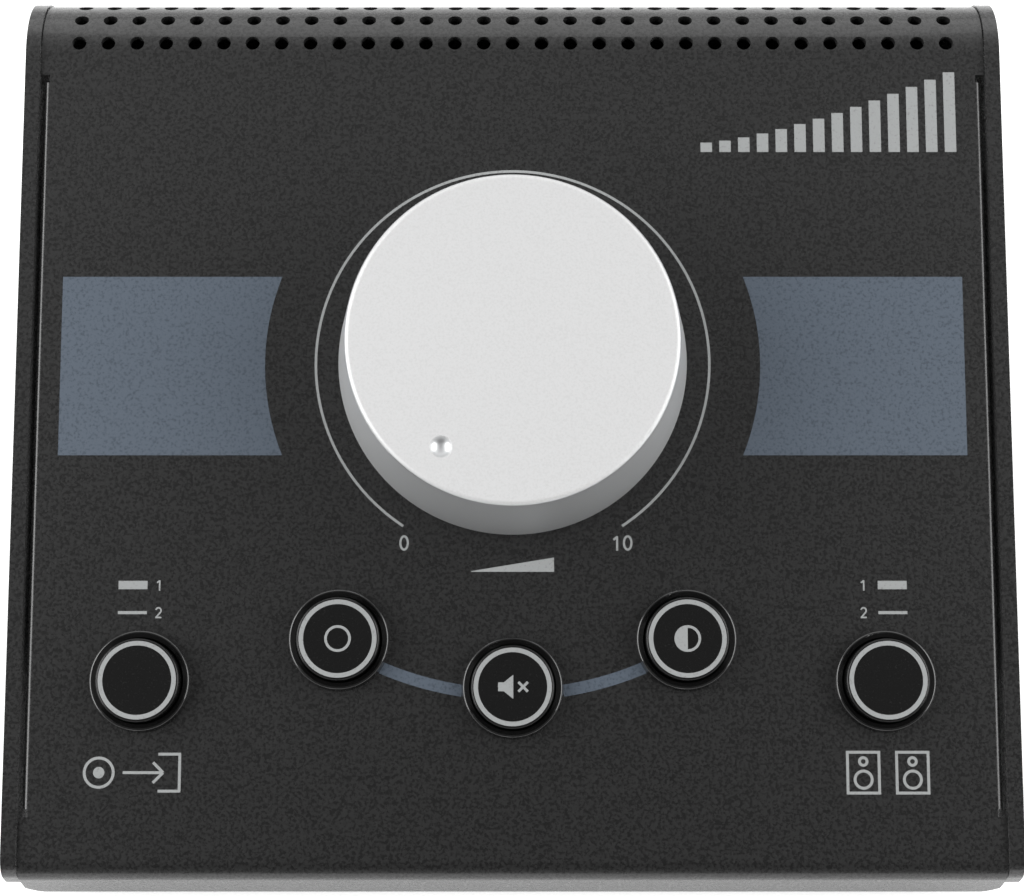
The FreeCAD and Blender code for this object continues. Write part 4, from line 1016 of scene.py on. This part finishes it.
CABINET_MIDDLES = (55.6, 63.4)
CABINET_HALF_WIDTH = 2.5
CABINET_HALF_HEIGHT = 3.2
LARGE_CONE = (-1.1, 1.35)
SMALL_CONE = (1.75, 0.6)


def cabinet(x, y):
    """Ribbons of a loudspeaker seen from the front: its outline, a small and a large cone."""
    left, right = x - CABINET_HALF_WIDTH, x + CABINET_HALF_WIDTH
    bottom, top = y - CABINET_HALF_HEIGHT, y + CABINET_HALF_HEIGHT
    half_pen = ICON_PEN / 2
    return [
        pen([[left, bottom], [left, top]], ICON_PEN),
        pen([[right, bottom], [right, top]], ICON_PEN),
        pen([[left - half_pen, bottom], [right + half_pen, bottom]], ICON_PEN),
        pen([[left - half_pen, top], [right + half_pen, top]], ICON_PEN),
        ring((x, y + LARGE_CONE[0]), LARGE_CONE[1], ICON_PEN),
        ring((x, y + SMALL_CONE[0]), SMALL_CONE[1], ICON_PEN),
    ]


loudspeakers = [ribbon for x in CABINET_MIDDLES for ribbon in cabinet(x, ICON_MIDDLE)]
printed("loudspeaker_drawing", panel, loudspeakers, pale_ink, "case")

# %% Rising level bars
LEVEL_COUNT = 14
LEVEL_LEFT = 31.0
LEVEL_RIGHT = 73.2
LEVEL_WIDTH = 1.9
LEVEL_BOTTOM = 35.3
LEVEL_LOW = 1.6
LEVEL_RISE = 12.0
LEVEL_POWER = 1.4

starts = np.linspace(LEVEL_LEFT, LEVEL_RIGHT - LEVEL_WIDTH, LEVEL_COUNT)
rises = LEVEL_LOW + LEVEL_RISE * np.linspace(0, 1, LEVEL_COUNT) ** LEVEL_POWER
levels = [
    bar(left, LEVEL_BOTTOM, left + LEVEL_WIDTH, LEVEL_BOTTOM + rise)
    for left, rise in zip(starts, rises)
]
printed("level_bars", panel, levels, pale_ink, "case")

# %% [markdown]
# ## Print on the caps
# Every cap has a printed ring just inside its rounded edge. The three caps in the middle
# carry a drawing each: one ring for a single channel, a crossed-out loudspeaker for
# silence, and a half-filled disc for half the loudness. These films ride on the buttons,
# so they go down with them.
# %% Rings and drawings on the caps
CAP_RING_RADIUS = 5.82
CAP_RING_WIDTH = 0.73
CAP_PEN = 0.42
CAP_MARK_RADIUS = 1.9
CAP_DISC_RADIUS = 1.8
HALF_TURN = np.linspace(90, 270, 32)


def half_disc(radius):
    """Edges of the left half of a disc: the round edge, and its heights on the middle line."""
    round_edge = arc((0, 0), radius, HALF_TURN[0], HALF_TURN[-1], len(HALF_TURN))
    return round_edge, round_edge * np.array([0.0, 1.0])


horn = np.array([[-2.3, 0.7], [-1.4, 0.7], [0.1, 1.9]])
CAP_DRAWINGS = {
    "source": [],
    "monitor": [],
    "mono": [ring((0, 0), CAP_MARK_RADIUS, CAP_PEN)],
    "mute": [
        (horn, horn * np.array([1.0, -1.0])),
        pen([[0.9, -0.75], [2.4, 0.75]], CAP_PEN),
        pen([[0.9, 0.75], [2.4, -0.75]], CAP_PEN),
    ],
    "dim": [ring((0, 0), CAP_MARK_RADIUS, CAP_PEN), half_disc(CAP_DISC_RADIUS)],
}
for name, middle in middles.items():
    face = on_plane(to_world(panel, middle), across, up_slope)
    marks = [ring((0, 0), CAP_RING_RADIUS, CAP_RING_WIDTH), *CAP_DRAWINGS[name]]
    printed(name + "_cap_print", face, marks, pale_ink, name + "_push")

# %% [markdown]
# ## Springs under the buttons
# Inside each switch a small steel spring lifts the button again. The construction model
# has it as a plain sleeve, as it changes its length there. Here the sleeve gives way to
# the real coil: a wire that climbs round the same middle, between the same two ends. It
# stands on the floor of the switch, and its top sits just under the button's stem.
# %% Coil springs
WIRE_RADIUS = 0.2
WIRE_SIDES = 8
COIL_TURNS = 5
STEPS_PER_TURN = 24
COIL_END_GAP = 0.05


def coil(low, high, radius):
    """Vertices and faces of a wire that climbs evenly from low to high round the third axis.

    Its middle line is (radius cos t, radius sin t, h). A corner of its section lies off that
    line by WIRE_RADIUS times cos a outward from the axis plus sin a upward.
    """
    turn = np.linspace(0.0, 2 * np.pi * COIL_TURNS, COIL_TURNS * STEPS_PER_TURN + 1)
    height = np.linspace(low + WIRE_RADIUS, high - WIRE_RADIUS, len(turn))
    around = np.linspace(0.0, 2 * np.pi, WIRE_SIDES, endpoint=False)
    reach = radius + WIRE_RADIUS * np.cos(around)
    vertices = np.stack(
        [
            np.outer(np.cos(turn), reach),
            np.outer(np.sin(turn), reach),
            height[:, None] + WIRE_RADIUS * np.sin(around),
        ],
        axis=-1,
    ).reshape(-1, 3)
    return vertices, faced_outward(vertices, tube_faces(len(turn), WIRE_SIDES, False))


for name in middles:
    corners = mesh_in_drawing(name + "_spring")
    middle = (corners.min(axis=0) + corners.max(axis=0)) / 2
    half_width, _, half_height = (corners.max(axis=0) - corners.min(axis=0)) / 2
    half_height -= COIL_END_GAP
    foot = on_plane(to_world(panel, middle - [0, 0, half_height]), across, up_slope)
    wire, faces = coil(0.0, 2 * half_height, half_width - WIRE_RADIUS)
    spring = new_piece(
        name + "_spring_coil", to_world(foot, wire), faces, finishes["spring_steel"], "case"
    )
    spring.data.shade_smooth()
    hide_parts(name + "_spring")
    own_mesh(spring)
